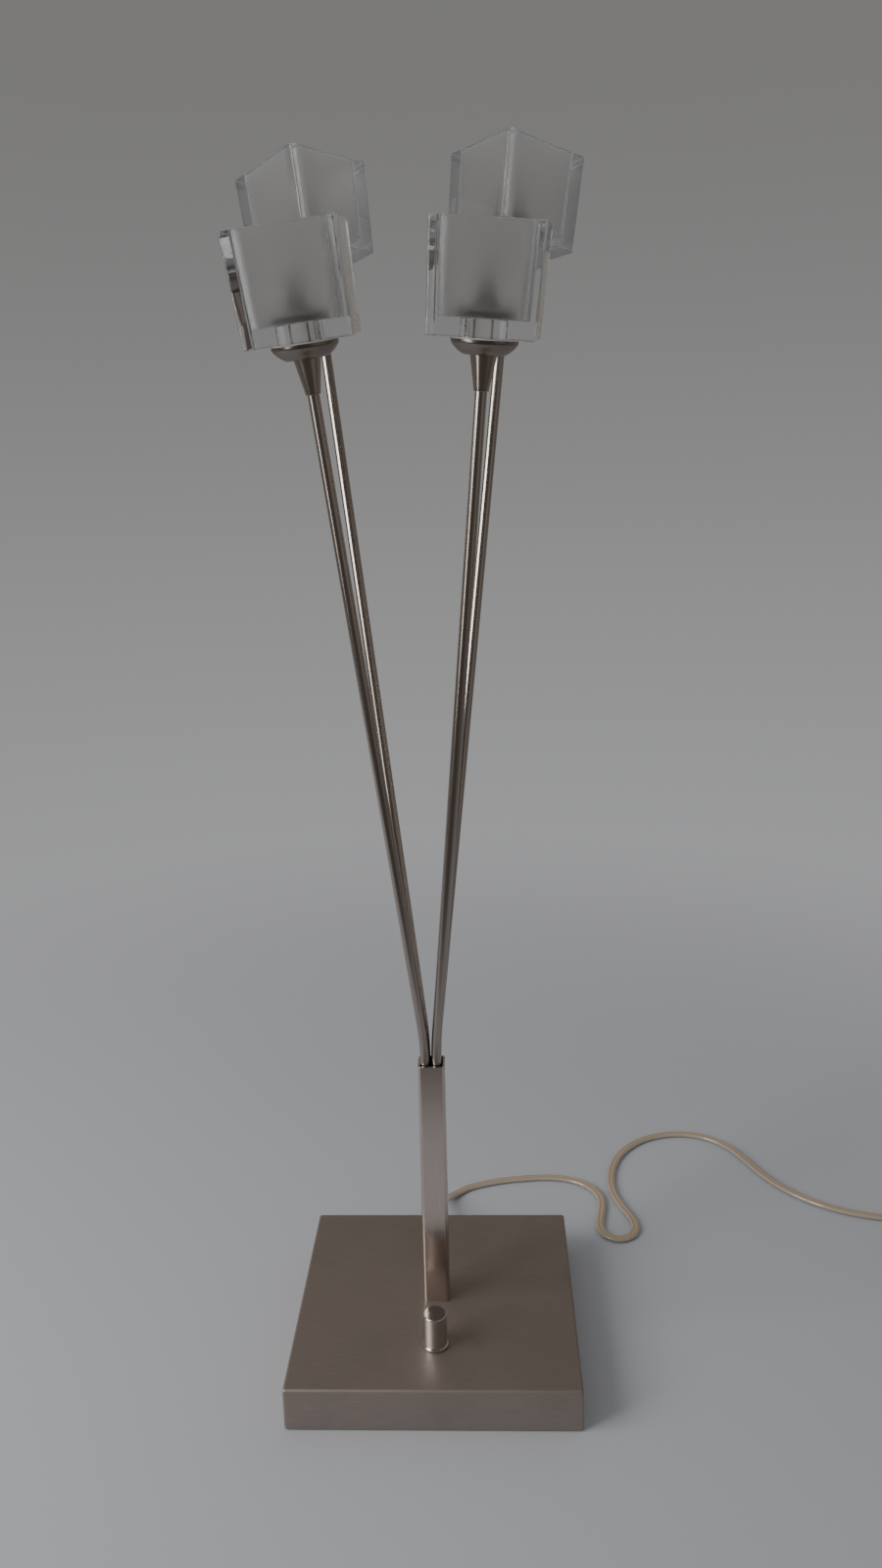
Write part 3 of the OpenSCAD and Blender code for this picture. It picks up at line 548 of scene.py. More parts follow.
class Bench:
    """Modelling moves on the one piece in hand."""

    @staticmethod
    def clear() -> None:
        """Leaves edit mode and deselects everything."""
        if bpy.context.object and bpy.context.object.mode != "OBJECT":
            bpy.ops.object.mode_set(mode="OBJECT")
        bpy.ops.object.select_all(action="DESELECT")

    @staticmethod
    def take(piece: bpy.types.Object) -> None:
        """Makes a piece the only selected and active one.

        Args:
            piece: The piece.
        """
        Bench.clear()
        piece.select_set(True)
        bpy.context.view_layer.objects.active = piece

    @staticmethod
    def edit() -> None:
        """Enters edit mode on the active piece."""
        bpy.ops.object.mode_set(mode="EDIT")

    @staticmethod
    def apply() -> None:
        """Moves the active piece's place, turn and size into its mesh."""
        bpy.ops.object.transform_apply(location=True, rotation=True, scale=True)

    @staticmethod
    def whole() -> None:
        """Enters edit mode on the active piece and selects all of it."""
        Bench.edit()
        bpy.ops.mesh.select_all(action="SELECT")

    @staticmethod
    def cube(size: float, location: Triple) -> None:
        """Adds a cube and selects all of it in edit mode.

        Args:
            size: Its side.
            location: Its middle.
        """
        Bench.clear()
        bpy.ops.mesh.primitive_cube_add(size=size, location=location)
        Bench.apply()
        Bench.whole()

    @staticmethod
    def done(name: str) -> bpy.types.Object:
        """Leaves edit mode and names the piece.

        Args:
            name: The piece's name.

        Returns:
            The piece.
        """
        bpy.ops.object.mode_set(mode="OBJECT")
        piece = bpy.context.object
        piece.name = name
        piece.data.name = name
        return piece

    @staticmethod
    def pick(element: Element, test: Test) -> None:
        """Selects faces or edges by their place and direction, and nothing else.

        Args:
            element: Faces or edges.
            test: Takes the middle, and a face's normal or an edge's direction.
        """
        bpy.ops.mesh.select_mode(type=element.value)
        bpy.ops.mesh.select_all(action="DESELECT")
        mesh = bmesh.from_edit_mesh(bpy.context.object.data)
        mesh.normal_update()
        if element is Element.FACE:
            for face in mesh.faces:
                if test(face.calc_center_median(), face.normal):
                    face.select_set(True)
        else:
            for edge in mesh.edges:
                start, end = (corner.co for corner in edge.verts)
                if test((start + end) / 2, (end - start).normalized()):
                    edge.select_set(True)
        bmesh.update_edit_mesh(bpy.context.object.data)

    @staticmethod
    def push(step: Triple) -> None:
        """Extrudes the selection by a step."""
        bpy.ops.mesh.extrude_region_move(TRANSFORM_OT_translate={"value": step})

    @staticmethod
    def scale(size: Triple, centre: Triple) -> None:
        """Scales the selection about a centre."""
        bpy.ops.transform.resize(value=size, center_override=centre)

    @staticmethod
    def bevel(width: float, segments: int) -> None:
        """Rounds the selected edges."""
        bpy.ops.mesh.bevel(
            offset=width, offset_type="OFFSET", segments=segments, profile=0.5, affect="EDGES"
        )

    @staticmethod
    def modify(piece: bpy.types.Object, kind: str, **settings: Any) -> None:
        """Adds a modifier and applies it.

        Args:
            piece: The piece.
            kind: The modifier's type.
            settings: Its settings.
        """
        Bench.take(piece)
        made = piece.modifiers.new(kind.title(), kind)
        for key, value in settings.items():
            setattr(made, key, value)
        bpy.ops.object.modifier_apply(modifier=made.name)

    @staticmethod
    def settle(piece: bpy.types.Object, matrix: Matrix, angle: float = 35.0) -> None:
        """Puts a piece in its place for good, smooth where it is round, flat where flat.

        Args:
            piece: The piece, modelled about the origin.
            matrix: Its place.
            angle: Sharpest angle in degrees that is shaded smooth.
        """
        Bench.take(piece)
        piece.matrix_world = matrix @ piece.matrix_world
        Bench.apply()
        bpy.ops.object.shade_smooth_by_angle(angle=math.radians(angle))
        Bench.modify(piece, "WEIGHTED_NORMAL", keep_sharp=True)

    @staticmethod
    def outward(piece: bpy.types.Object) -> None:
        """Merges doubles and turns all faces outwards.

        Args:
            piece: The piece.
        """
        Bench.take(piece)
        Bench.whole()
        bpy.ops.mesh.remove_doubles(threshold=1e-6)
        bpy.ops.mesh.normals_make_consistent(inside=False)
        bpy.ops.object.mode_set(mode="OBJECT")

    @staticmethod
    def turn(name: str, profile: Iterable[Pair], sides: int = 96) -> bpy.types.Object:
        """Turns a profile about Z, ring by ring.

        Args:
            name: The piece's name.
            profile: Radius and height of each ring. The last is the first again where
                the shape has a bore; otherwise both ends are closed.
            sides: Number of its sides.

        Returns:
            The turned piece.
        """
        rings = list(profile)
        fill = "NOTHING" if rings[0] == rings[-1] else "NGON"
        radius, height = rings[0]
        Bench.clear()
        bpy.ops.mesh.primitive_circle_add(
            vertices=sides, radius=radius, fill_type=fill, location=(0, 0, height)
        )
        Bench.apply()
        Bench.whole()
        for wider, higher in rings[1:]:
            Bench.push((0, 0, higher - height))
            Bench.scale((wider / radius, wider / radius, 1), (0, 0, 0))
            radius, height = wider, higher
        piece = Bench.done(name)
        Bench.outward(piece)
        return piece

    @staticmethod
    def tube(name: str, radii: Pair, heights: Pair, sides: int) -> bpy.types.Object:
        """Turns a plain tube about Z.

        Args:
            name: The piece's name.
            radii: Radius of its bore and of its outside.
            heights: Height of its lower and of its upper end.
            sides: Number of its sides.

        Returns:
            The tube.
        """
        (bore, radius), (low, high) = radii, heights
        rings = [(bore, low), (radius, low), (radius, high), (bore, high), (bore, low)]
        return Bench.turn(name, rings, sides)

    @staticmethod
    def drill(
        piece: bpy.types.Object,
        radius: float,
        centre: Triple,
        depth: float,
        turn: Triple = (0, 0, 0),
    ) -> None:
        """Drills a round hole.

        Args:
            piece: The piece.
            radius: Radius of the hole.
            centre: Middle of the hole.
            depth: Length of the drill.
            turn: Turn of the drill from upright.
        """
        Bench.clear()
        bpy.ops.mesh.primitive_cylinder_add(
            vertices=64, radius=radius, depth=depth, location=centre, rotation=turn
        )
        cutter = bpy.context.object
        Bench.modify(piece, "BOOLEAN", operation="DIFFERENCE", object=cutter, solver="EXACT")
        bpy.data.objects.remove(cutter)

    @staticmethod
    def round_off(
        piece: bpy.types.Object, width: float, segments: int = 3, angle: float = 30.0
    ) -> None:
        """Rounds all edges that are sharper than an angle.

        Args:
            piece: The piece.
            width: Width of the rounding.
            segments: Its number of faces.
            angle: The angle in degrees.
        """
        Bench.modify(
            piece,
            "BEVEL",
            width=width,
            segments=segments,
            limit_method="ANGLE",
            angle_limit=math.radians(angle),
            use_clamp_overlap=True,
        )

    @staticmethod
    def join(name: str, pieces: list[bpy.types.Object]) -> bpy.types.Object:
        """Joins pieces into the first of them.

        Args:
            name: The joined piece's name.
            pieces: The pieces.

        Returns:
            The joined piece.
        """
        Bench.take(pieces[0])
        for piece in pieces[1:]:
            piece.select_set(True)
        bpy.ops.object.join()
        pieces[0].name = pieces[0].data.name = name
        return pieces[0]

    @staticmethod
    def copy(piece: bpy.types.Object, name: str) -> bpy.types.Object:
        """Copies a piece with its own mesh.

        Args:
            piece: The piece to copy.
            name: The copy's name.

        Returns:
            The copy.
        """
        made = piece.copy()
        made.data = piece.data.copy()
        made.name = made.data.name = name
        bpy.context.scene.collection.objects.link(made)
        return made


class Dresser:
    """Puts finishes on pieces and ties them to the frame."""

    @staticmethod
    def paint(piece: bpy.types.Object, *finishes: Finish) -> None:
        """Gives a piece its materials, and its faces keep their material slots.

        Args:
            piece: The piece.
            finishes: Its finishes, in the order of its slots.
        """
        slots = piece.data.materials
        for place, finish in enumerate(finishes):
            if place < len(slots):
                slots[place] = finish.material()
            else:
                slots.append(finish.material())

    @staticmethod
    def nodes(finish: Finish, *names: str) -> None:
        """Dresses frame nodes that keep their own shape.

        Args:
            finish: Their finish.
            names: The nodes' names.
        """
        for name in names:
            Dresser.paint(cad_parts[name], finish)
            LOG.info("dressed %s in %s", name, finish.name)

    @staticmethod
    def fit(
        piece: bpy.types.Object,
        slot: str,
        finishes: Iterable[Finish],
        *replaced: str,
        body: Body = Body.BASE,
    ) -> None:
        """Finishes a new piece: its materials, its body and the nodes it stands for.

        Args:
            piece: The piece in its place.
            slot: The record's material slot; not used.
            finishes: Its finishes.
            replaced: The frame nodes that it replaces.
            body: The body that carries it.
        """
        Dresser.paint(piece, *finishes)
        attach(piece, body.value)
        if replaced:
            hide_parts(*replaced)
        LOG.info("%s: %d faces on %s", piece.name, len(piece.data.polygons), body.value)


# ---- Studio ----


@dataclass(frozen=True)
class SoftBox:
    """Area lamp: its place, the point that it faces, its width and height, and its watts."""

    name: str
    at: Triple
    aim: Triple
    size: Pair
    power: float

    def hang(self) -> None:
        """Hangs the lamp, which doesn't show through glass."""
        data = bpy.data.lights.new(self.name, "AREA")
        data.shape = "RECTANGLE"
        data.size, data.size_y = self.size
        data.energy = self.power
        made = bpy.data.objects.new(self.name, data)
        bpy.context.scene.collection.objects.link(made)
        facing = (Vector(self.aim) - Vector(self.at)).to_track_quat("-Z", "Y")
        made.matrix_world = Matrix.Translation(self.at) @ facing.to_matrix().to_4x4()
        made.visible_transmission = False


@dataclass
class Studio:
    """Camera, floor, lamps and surroundings."""

    lens: float = 27.921
    eye: Triple = (0.03138, -0.62512, 0.49148)
    yaw: float = math.radians(2.07)
    pitch: float = math.radians(13.99)
    roll: float = math.radians(-1.26)
    floor_colour: Colour = (0.39, 0.395, 0.41)
    # Backdrop colour low and high; its darker top is painted shade.
    wall_low: Colour = (0.372, 0.375, 0.385)
    wall_high: Colour = (0.198, 0.195, 0.191)
    floor_half: float = 6.0
    floor_drop: float = 0.0001
    seen_fade: Pair = (0.25, 1.1)
    mirrored_centre: Triple = (0.0, 1.2, 0.0)
    mirrored_fade: Pair = (1.40, 1.60)
    wall_span: Pair = (-0.45, 0.32)
    even_light: Colour = (0.45, 0.45, 0.46)
    room_back: Colour = (0.205, 0.192, 0.176)
    room_low: Colour = (0.085, 0.077, 0.071)
    room_high: Colour = (0.10, 0.091, 0.082)
    room_side: Colour = (0.26, 0.25, 0.24)
    boxes: tuple[SoftBox, ...] = (
        SoftBox("key_box", (-1.1, -0.5, 0.84), (0.0, 0.0, 0.1), (0.85, 0.85), 14.5),
        SoftBox("strip_box", (-1.0, -0.75, 0.62), (0.0, 0.0, 0.62), (0.3, 1.2), 4.0),
    )

    def camera(self) -> None:
        """Sets the camera at the photograph's viewing angle."""
        ahead = Vector(
            (
                -math.sin(self.yaw) * math.cos(self.pitch),
                math.cos(self.yaw) * math.cos(self.pitch),
                -math.sin(self.pitch),
            )
        )
        level = Vector((math.cos(self.yaw), math.sin(self.yaw), 0.0))
        upright = level.cross(ahead)
        right = math.cos(self.roll) * level + math.sin(self.roll) * upright
        up = math.cos(self.roll) * upright - math.sin(self.roll) * level
        data = bpy.data.cameras.new("photo_camera")
        data.sensor_fit = "AUTO"
        data.sensor_width = 36.0
        data.lens = self.lens
        data.clip_start, data.clip_end = 0.01, 50.0
        made = bpy.data.objects.new("photo_camera", data)
        bpy.context.scene.collection.objects.link(made)
        turn = Matrix((right, up, -ahead)).transposed()
        made.matrix_world = Matrix.Translation(self.eye) @ turn.to_4x4()
        bpy.context.scene.camera = made
        LOG.info("camera with a %.1f mm lens", self.lens)

    def floor(self) -> None:
        """Lays the plain floor, which fades into the backdrop far from the lamp."""
        Bench.clear()
        bpy.ops.mesh.primitive_grid_add(
            x_subdivisions=8,
            y_subdivisions=8,
            size=2 * self.floor_half,
            location=(0, 0, -self.floor_drop),
        )
        floor = bpy.context.object
        floor.name = "studio_floor"
        material = bpy.data.materials.new("studio_floor")
        material.use_nodes = True
        shader = Shader(material.node_tree)
        glossy = shader.node("ShaderNodeLightPath", out="Is Glossy Ray")
        seen, mirrored = (
            shader.distance(centre).ramp(*fade)
            for centre, fade in (
                ((0.0, 0.0, 0.0), self.seen_fade),
                (self.mirrored_centre, self.mirrored_fade),
            )
        )
        haze = shader.noise(0.25, detail=2.0)
        worn = tuple(0.985 * part for part in self.floor_colour)
        lit = shader.node(
            "ShaderNodeBsdfDiffuse", values={"Color": shader.mix(haze, self.floor_colour, worn)}
        )
        far = shader.node("ShaderNodeBsdfTransparent")
        blend = shader.node(
            "ShaderNodeMixShader",
            values={0: seen + glossy * (mirrored - seen), 1: lit, 2: far},
        )
        shader.end("ShaderNodeOutputMaterial", blend)
        floor.data.materials.append(material)

    def surroundings(self) -> None:
        """Lights the world evenly, and shows a wall, with painted shade darker towards the top, and
        a dim room to what is glossy.
        """
        world = bpy.data.worlds.new("studio")
        bpy.context.scene.world = world
        world.use_nodes = True
        shader = Shader(world.node_tree)
        camera = shader.node("ShaderNodeLightPath", out="Is Camera Ray")
        through = shader.node("ShaderNodeLightPath", out="Is Transmission Ray")
        glossy = shader.node("ShaderNodeLightPath", out="Is Glossy Ray")
        toward = shader.node("ShaderNodeTexCoord", out="Generated")
        right, back, up = shader.split(toward)
        # The wall darkens upwards: painted shade on the backdrop.
        wall = shader.mix(up.ramp(*self.wall_span), self.wall_low, self.wall_high)
        front = (back + 0.1 * up).ramp(0.25, -0.25)
        beside = (right * 0.80 + back * -0.60).ramp(0.82, 0.97)
        near = shader.mix(up.ramp(0.2, 0.6), self.room_low, self.room_high)
        dim = shader.mix(beside, near, self.room_side)
        room = shader.mix(front, self.room_back, dim)
        even = shader.mix(glossy, self.even_light, room)
        light = shader.node(
            "ShaderNodeBackground",
            values={"Color": shader.mix(camera.largest(through), even, wall), "Strength": 1.0},
        )
        shader.end("ShaderNodeOutputWorld", light)

    def build(self) -> None:
        """Sets up the whole studio but the camera."""
        self.floor()
        self.surroundings()
        for box in self.boxes:
            box.hang()
        LOG.info("studio set up")


# ---- Cord ----


@dataclass
class FlatCord:
    """Two-core flat cord: its run on the surface, the coil, and the plug's end."""

    width: float = 5.4 * MM
    thick: float = 3.0 * MM
    low: float = 1.5
    coil_height: float = 2.4
    coil_rise: float = 3.6
    coil_centre: Pair = (337.0, 70.0)
    coil_radius: float = 38.0
    coil_step: float = 6.0
    turns_in: float = 3.0
    turns_climb: float = 0.5
    turns_out: float = 2.75
    coil_rings: int = 48
    span_rings: int = 6
    lobe_points: int = 11
    lobe_reach: float = 128.0

    def route(self) -> list[Vector]:
        """Lists the given points of the run.

        Returns:
            The points, in millimetres.
        """
        low = self.low
        rising = [(0, 104, 10.5), (0, 113, 10.1), (1, 123, 7.4), (4, 132, 4), (9, 140, 2)]
        level = [
            (17, 147.5), (28, 152.5), (41, 156.5), (55, 159), (69, 160.5), (83, 159.5),
            (95, 155), (104, 147), (109, 136.5), (109.5, 125), (107.5, 113), (106, 101),
            (109, 91.5), (117, 87), (125.5, 90.5), (129.5, 99), (128.5, 110), (124, 122.5),
            (120, 136), (118.5, 150), (120, 165), (124.5, 181), (133, 196.5), (147, 210.5),
            (164, 218.3), (182, 219.7), (199, 213.3), (212, 200), (220.5, 183), (228, 165),
            (239, 147), (254, 131), (273, 119), (296, 111.5),
        ]
        ending = [(317, 108.5, 1.9), (331, 108, self.coil_height)]
        return [Vector(p) for p in rising + [(x, y, low) for x, y in level] + ending]

    def tail(self) -> list[Vector]:
        """Lists the given points from the coil to the plug.

        Returns:
            The points, in millimetres.
        """
        turns = self.turns_in + self.turns_climb + self.turns_out
        start = (
            self.coil_centre[0] + self.radius(turns),
            self.coil_centre[1] - 6.0,
            self.coil_height + self.coil_rise,
        )
        rest = [(376, 54, 5.1), (374, 44, 4.6), (371, 35, 5.1), (369.5, 26, 6.5), (369, 18, 6.8)]
        return [Vector(p) for p in [start] + rest]

    def radius(self, turn: float) -> float:
        """Works out how wide the coil is after some turns.

        Args:
            turn: Number of turns from the coil's start.

        Returns:
            The radius, in millimetres.
        """
        inner = self.turns_in + self.turns_climb
        past = turn - inner
        if past < 0:
            return self.coil_radius - self.coil_step * turn
        return self.coil_radius - self.coil_step * (inner - past - min(1.0, 2 * past))

    def coil(self) -> list[Vector]:
        """Winds the coil's centreline inwards, up a layer and outwards.

        Returns:
            Its points, in millimetres.
        """
        turns = self.turns_in + self.turns_climb + self.turns_out
        count = round(turns * self.coil_rings)
        line = []
        for ring in range(count + 1):
            turn = ring / self.coil_rings
            angle = math.radians(90.0 - 360.0 * turn)
            climb = min(1.0, max(0.0, (turn - self.turns_in) / self.turns_climb))
            line.append(
                Vector(
                    (
                        self.coil_centre[0] + self.radius(turn) * math.cos(angle),
                        self.coil_centre[1] + self.radius(turn) * math.sin(angle),
                        self.coil_height + self.coil_rise * climb,
                    )
                )
            )
        return line

    def smooth(self, points: list[Vector]) -> list[Vector]:
        """Runs a smooth curve through points.

        Args:
            points: The points.

        Returns:
            The curve, with several points on each span.
        """
        line = []
        last = len(points) - 1
        for i in range(last):
            a, b = points[max(i - 1, 0)], points[i]
            c, d = points[i + 1], points[min(i + 2, last)]
            for k in range(self.span_rings):
                t = k / self.span_rings
                line.append(
                    0.5
                    * (
                        2 * b
                        + (c - a) * t
                        + (2 * a - 5 * b + 4 * c - d) * t**2
                        + (3 * b - a - 3 * c + d) * t**3
                    )
                )
        return line + [points[last]]

    def line(self) -> list[Vector]:
        """Joins the run, the coil and the tail.

        Returns:
            The whole centreline in metres, from the boot to the plug.
        """
        run = self.smooth(self.route())
        tail = self.smooth(self.tail())
        return [p * MM for p in run + self.coil() + tail]

    def section(self) -> list[Pair]:
        """Draws the outline of two joined cores.

        Returns:
            Its points, across and up, counter-clockwise.
        """
        lobe = self.thick / 2
        off = (self.width - self.thick) / 2
        reach = math.radians(self.lobe_reach)
        side = [
            (off + lobe * math.cos(a), lobe * math.sin(a))
            for a in (
                -reach + 2 * reach * k / (self.lobe_points - 1) for k in range(self.lobe_points)
            )
        ]
        return side + [(-x, -y) for x, y in side]

    def build(self) -> None:
        line, outline = self.line(), self.section()
        count = len(outline)
        vertices, across, along = [], [], []
        run = 0.0
        for i, point in enumerate(line):
            before = (point - line[i - 1]) if i else (line[1] - point)
            after = (line[i + 1] - point) if i + 1 < len(line) else before
            heading = (before.normalized() + after.normalized()).normalized()
            right = Vector((heading.y, -heading.x, 0.0)).normalized()
            up = right.cross(heading)
            run += before.length if i else 0.0
            for x, y in outline:
                vertices.append(point + right * x + up * y)
                across.append(x / self.width + 0.5)
                along.append(run)
        faces = [
            (
                i * count + k,
                i * count + (k + 1) % count,
                (i + 1) * count + (k + 1) % count,
                (i + 1) * count + k,
            )
            for i in range(len(line) - 1)
            for k in range(count)
        ]
        last = (len(line) - 1) * count
        faces += [tuple(range(count - 1, -1, -1)), tuple(range(last, len(vertices)))]
        mesh = bpy.data.meshes.new("cord")
        mesh.from_pydata(vertices, [], faces)
        layer = mesh.uv_layers.new(name=CORD_MAP)
        for loop in mesh.loops:
            layer.data[loop.index].uv = (across[loop.vertex_index], along[loop.vertex_index])
        cord = bpy.data.objects.new("cord", mesh)
        bpy.context.scene.collection.objects.link(cord)
        Bench.outward(cord)
        Bench.settle(cord, Matrix.Identity(4), 60.0)
        Dresser.fit(
            cord, "clear_gold_pvc", [CORD_SHEATH], "cord_run", "cord_coil", "cord_tail"
        )
        CordBoot().build()
        strap = CoilStrap().build(self.coil_centre)
        body, pins = Plug(self.tail()[-1] * MM).build()


@dataclass
class CordBoot:
    """Moulded boot that grips the back of the cover and tapers along the cord."""

    inside: Triple = (0.0, 77.0 * MM, 10.5 * MM)
    flange: float = 6.5 * MM
    flange_thick: float = 1.5 * MM
    neck: float = 4.5 * MM
    wall: float = 1.5 * MM
    length: float = 27.0 * MM
    tip: float = 3.3 * MM
    ribs: int = 5
    first_rib: float = 3.5 * MM
    rib_pitch: float = 3.1 * MM
    rib_steps: tuple[Pair, ...] = ((0.0, 0.0), (0.3, 1.0), (1.2, 1.0), (1.5, 0.0))
    groove: float = 0.45 * MM
    fillet: float = 0.5 * MM

    def build(self) -> None:
        """Turns the boot, with grooves round its taper."""
        near = self.flange_thick + self.wall
        far = near + self.flange_thick
        profile = [
            (self.flange, 0), (self.flange, self.flange_thick),
            (self.neck, self.flange_thick), (self.neck, near), (self.flange, near),
            (self.flange, far), (self.neck, far + self.fillet),
        ]
        start = far + self.first_rib
        slope = (self.tip - self.neck) / (self.length - far)
        for rib in range(self.ribs):
            for step, sunk in self.rib_steps:
                along = start + rib * self.rib_pitch + step * MM
                profile.append((self.neck + slope * (along - far) - sunk * self.groove, along))
        profile.append((self.tip, self.length))
        boot = Bench.turn("boot_moulded", profile, 64)
        Bench.round_off(boot, 0.12 * MM, 2, 40.0)
        Bench.settle(
            boot, Matrix.Translation(self.inside) @ Matrix.Rotation(math.radians(-90), 4, "X"), 40.0
        )
        Dresser.fit(boot, "clear_gold_pvc", [BOOT_SHEATH], "cord_boot")


@dataclass
class CoilStrap:
    """Strap round all the turns of the coil, with its end tucked over."""

    near: float = 13.35 * MM
    far: float = 43.15 * MM
    top: float = 8.45 * MM
    width: float = 6.0 * MM
    thick: float = 0.6 * MM
    corner: float = 1.6 * MM
    turn: float = 250.0
    end: float = 13.0 * MM
    flap_corner: float = 1.4 * MM
    tuck: float = 0.05 * MM

    def build(self, centre: Pair) -> bpy.types.Object:
        """Bends the strap into its loop.

        Args:
            centre: The coil's centre in millimetres.

        Returns:
            The strap.
        """
        middle = (self.near + self.far) / 2
        Bench.cube(1.0, (0, 0, 0.5))
        Bench.scale((self.far - self.near, self.width, self.top), (0, 0, 0))
        bpy.ops.transform.translate(value=(middle, 0, 0))
        Bench.pick(Element.FACE, lambda at, out: abs(out.y) > 0.9)
        bpy.ops.mesh.delete(type="ONLY_FACE")
        Bench.pick(Element.EDGE, lambda at, way: abs(way.y) > 0.9)
        Bench.bevel(self.corner, 5)
        loop = Bench.done("strap_loop")
        Bench.modify(loop, "SOLIDIFY", thickness=self.thick, offset=-1.0)
        Bench.cube(1.0, (0, 0, 0.5))
        Bench.scale((self.end, self.width, self.thick), (0, 0, 0))
        bpy.ops.transform.translate(value=(middle, 0, self.top - self.tuck))
        Bench.pick(Element.EDGE, lambda at, way: abs(way.z) > 0.9)
        Bench.bevel(self.flap_corner, 5)
        flap = Bench.done("strap_flap")
        strap = Bench.join("coil_strap", [loop, flap])
        Bench.round_off(strap, 0.12 * MM, 2, 40.0)
        place = Matrix.Translation((centre[0] * MM, centre[1] * MM, 0))
        Bench.settle(strap, place @ Matrix.Rotation(math.radians(self.turn), 4, "Z"), 40.0)
        Dresser.fit(strap, "black_tie", [STRAP], "cord_tie")
        return strap


@dataclass
class Plug:
    """Flat two-pole plug: neck, body with grip panels, and sleeved pins."""

    entry: Vector
    neck: float = 17.0 * MM
    length: float = 38.0 * MM
    width: float = 35.0 * MM
    thick: float = 13.6 * MM
    corner: float = 3.0 * MM
    cord: float = 3.3 * MM
    pin: float = 2.0 * MM
    pin_gap: float = 18.6 * MM
    pin_length: float = 19.0 * MM
    sleeve: float = 10.0 * MM
    sleeve_wall: float = 0.1 * MM
    shoulder: float = 1.0 * MM
    ribs: int = 4
    first_rib: float = 2.6
    rib_pitch: float = 3.1
    rib_steps: tuple[Pair, ...] = ((0.0, 0.0), (0.4, 0.4), (1.4, 0.4), (1.8, 0.0))
    swell: float = 1.3
    panel: float = 3.2 * MM
    panel_depth: float = 0.4 * MM

    @property
    def place(self) -> Matrix:
        """Frame of the plug, with Z towards the pins and Y up."""
        return Matrix.Translation(self.entry) @ Matrix.Rotation(math.radians(90), 4, "X")

    def body(self) -> bpy.types.Object:
        """Models the neck and the flared body.

        Returns:
            The plug's body.
        """
        wide = self.thick / 2 - self.shoulder
        profile = [(self.cord, 0), (self.cord, 1.0 * MM)]
        for rib in range(self.ribs):
            for step, sunk in self.rib_steps:
                along = (self.first_rib + self.rib_pitch * rib + step) * MM
                radius = self.cord + (wide - self.cord) * (along / self.neck) ** self.swell
                profile.append((radius - sunk * MM, along))
        profile += [(wide, self.neck), (wide, self.neck + 2 * MM)]
        neck = Bench.turn("plug_neck", profile, 64)
        Bench.cube(self.thick, (0, 0, self.neck + self.thick / 2))
        Bench.scale(
            (self.width / self.thick, 1, (self.length - self.neck) / self.thick), (0, 0, self.neck)
        )
        Bench.pick(Element.FACE, lambda at, out: out.z < -0.9)
        Bench.scale((0.5, 0.9, 1), (0, 0, self.neck))
        Bench.pick(Element.EDGE, lambda at, way: abs(at.x) > self.width / 5 and abs(way.z) > 0.5)
        Bench.bevel(self.corner, 6)
        for side in (-1, 1):
            Bench.pick(Element.FACE, lambda at, out: out.y * side > 0.995)
            bpy.ops.mesh.inset(thickness=self.panel)
            bpy.ops.mesh.inset(thickness=self.panel_depth)
            Bench.push((0, -side * self.panel_depth, 0))
        block = Bench.done("plug_block")
        Bench.outward(block)
        body = Bench.join("plug_moulded", [block, neck])
        Bench.round_off(body, 0.6 * MM, 3, 32.0)
        Bench.settle(body, self.place, 40.0)
        Dresser.fit(body, "plug_plastic", [PLUG], "plug_body")
        return body

    def pins(self) -> bpy.types.Object:
        """Turns the two pins, each with an insulating sleeve at its root.

        Returns:
            Both pins as one piece.
        """
        root, bare = self.length + self.sleeve, self.pin - self.sleeve_wall
        centre = self.length + self.pin_length - bare
        profile = [(self.pin, self.length), (self.pin, root), (bare, root)]
        for step in range(6):
            angle = math.radians(15 * step)
            profile.append((bare * math.cos(angle), centre + bare * math.sin(angle)))
        pin = Bench.turn("plug_pin", profile, 40)
        pin.data.materials.append(PIN.material())
        pin.data.materials.append(PIN_SLEEVE.material())
        for face in pin.data.polygons:
            face.material_index = int(face.center.z < root + NEAR)
        other = Bench.copy(pin, "plug_pin_right")
        Bench.settle(pin, Matrix.Translation((-self.pin_gap / 2, 0, 0)))
        Bench.settle(other, Matrix.Translation((self.pin_gap / 2, 0, 0)))
        pins = Bench.join("plug_pins_sleeved", [pin, other])
        Bench.settle(pins, self.place)
        Dresser.fit(pins, "pin_metal", [PIN, PIN_SLEEVE], "plug_pins")
        return pins

    def build(self) -> tuple[bpy.types.Object, bpy.types.Object]:
        """Models the plug.

        Returns:
            Its body and its pins.
        """
        return self.body(), self.pins()


# ---- Base and stem ----


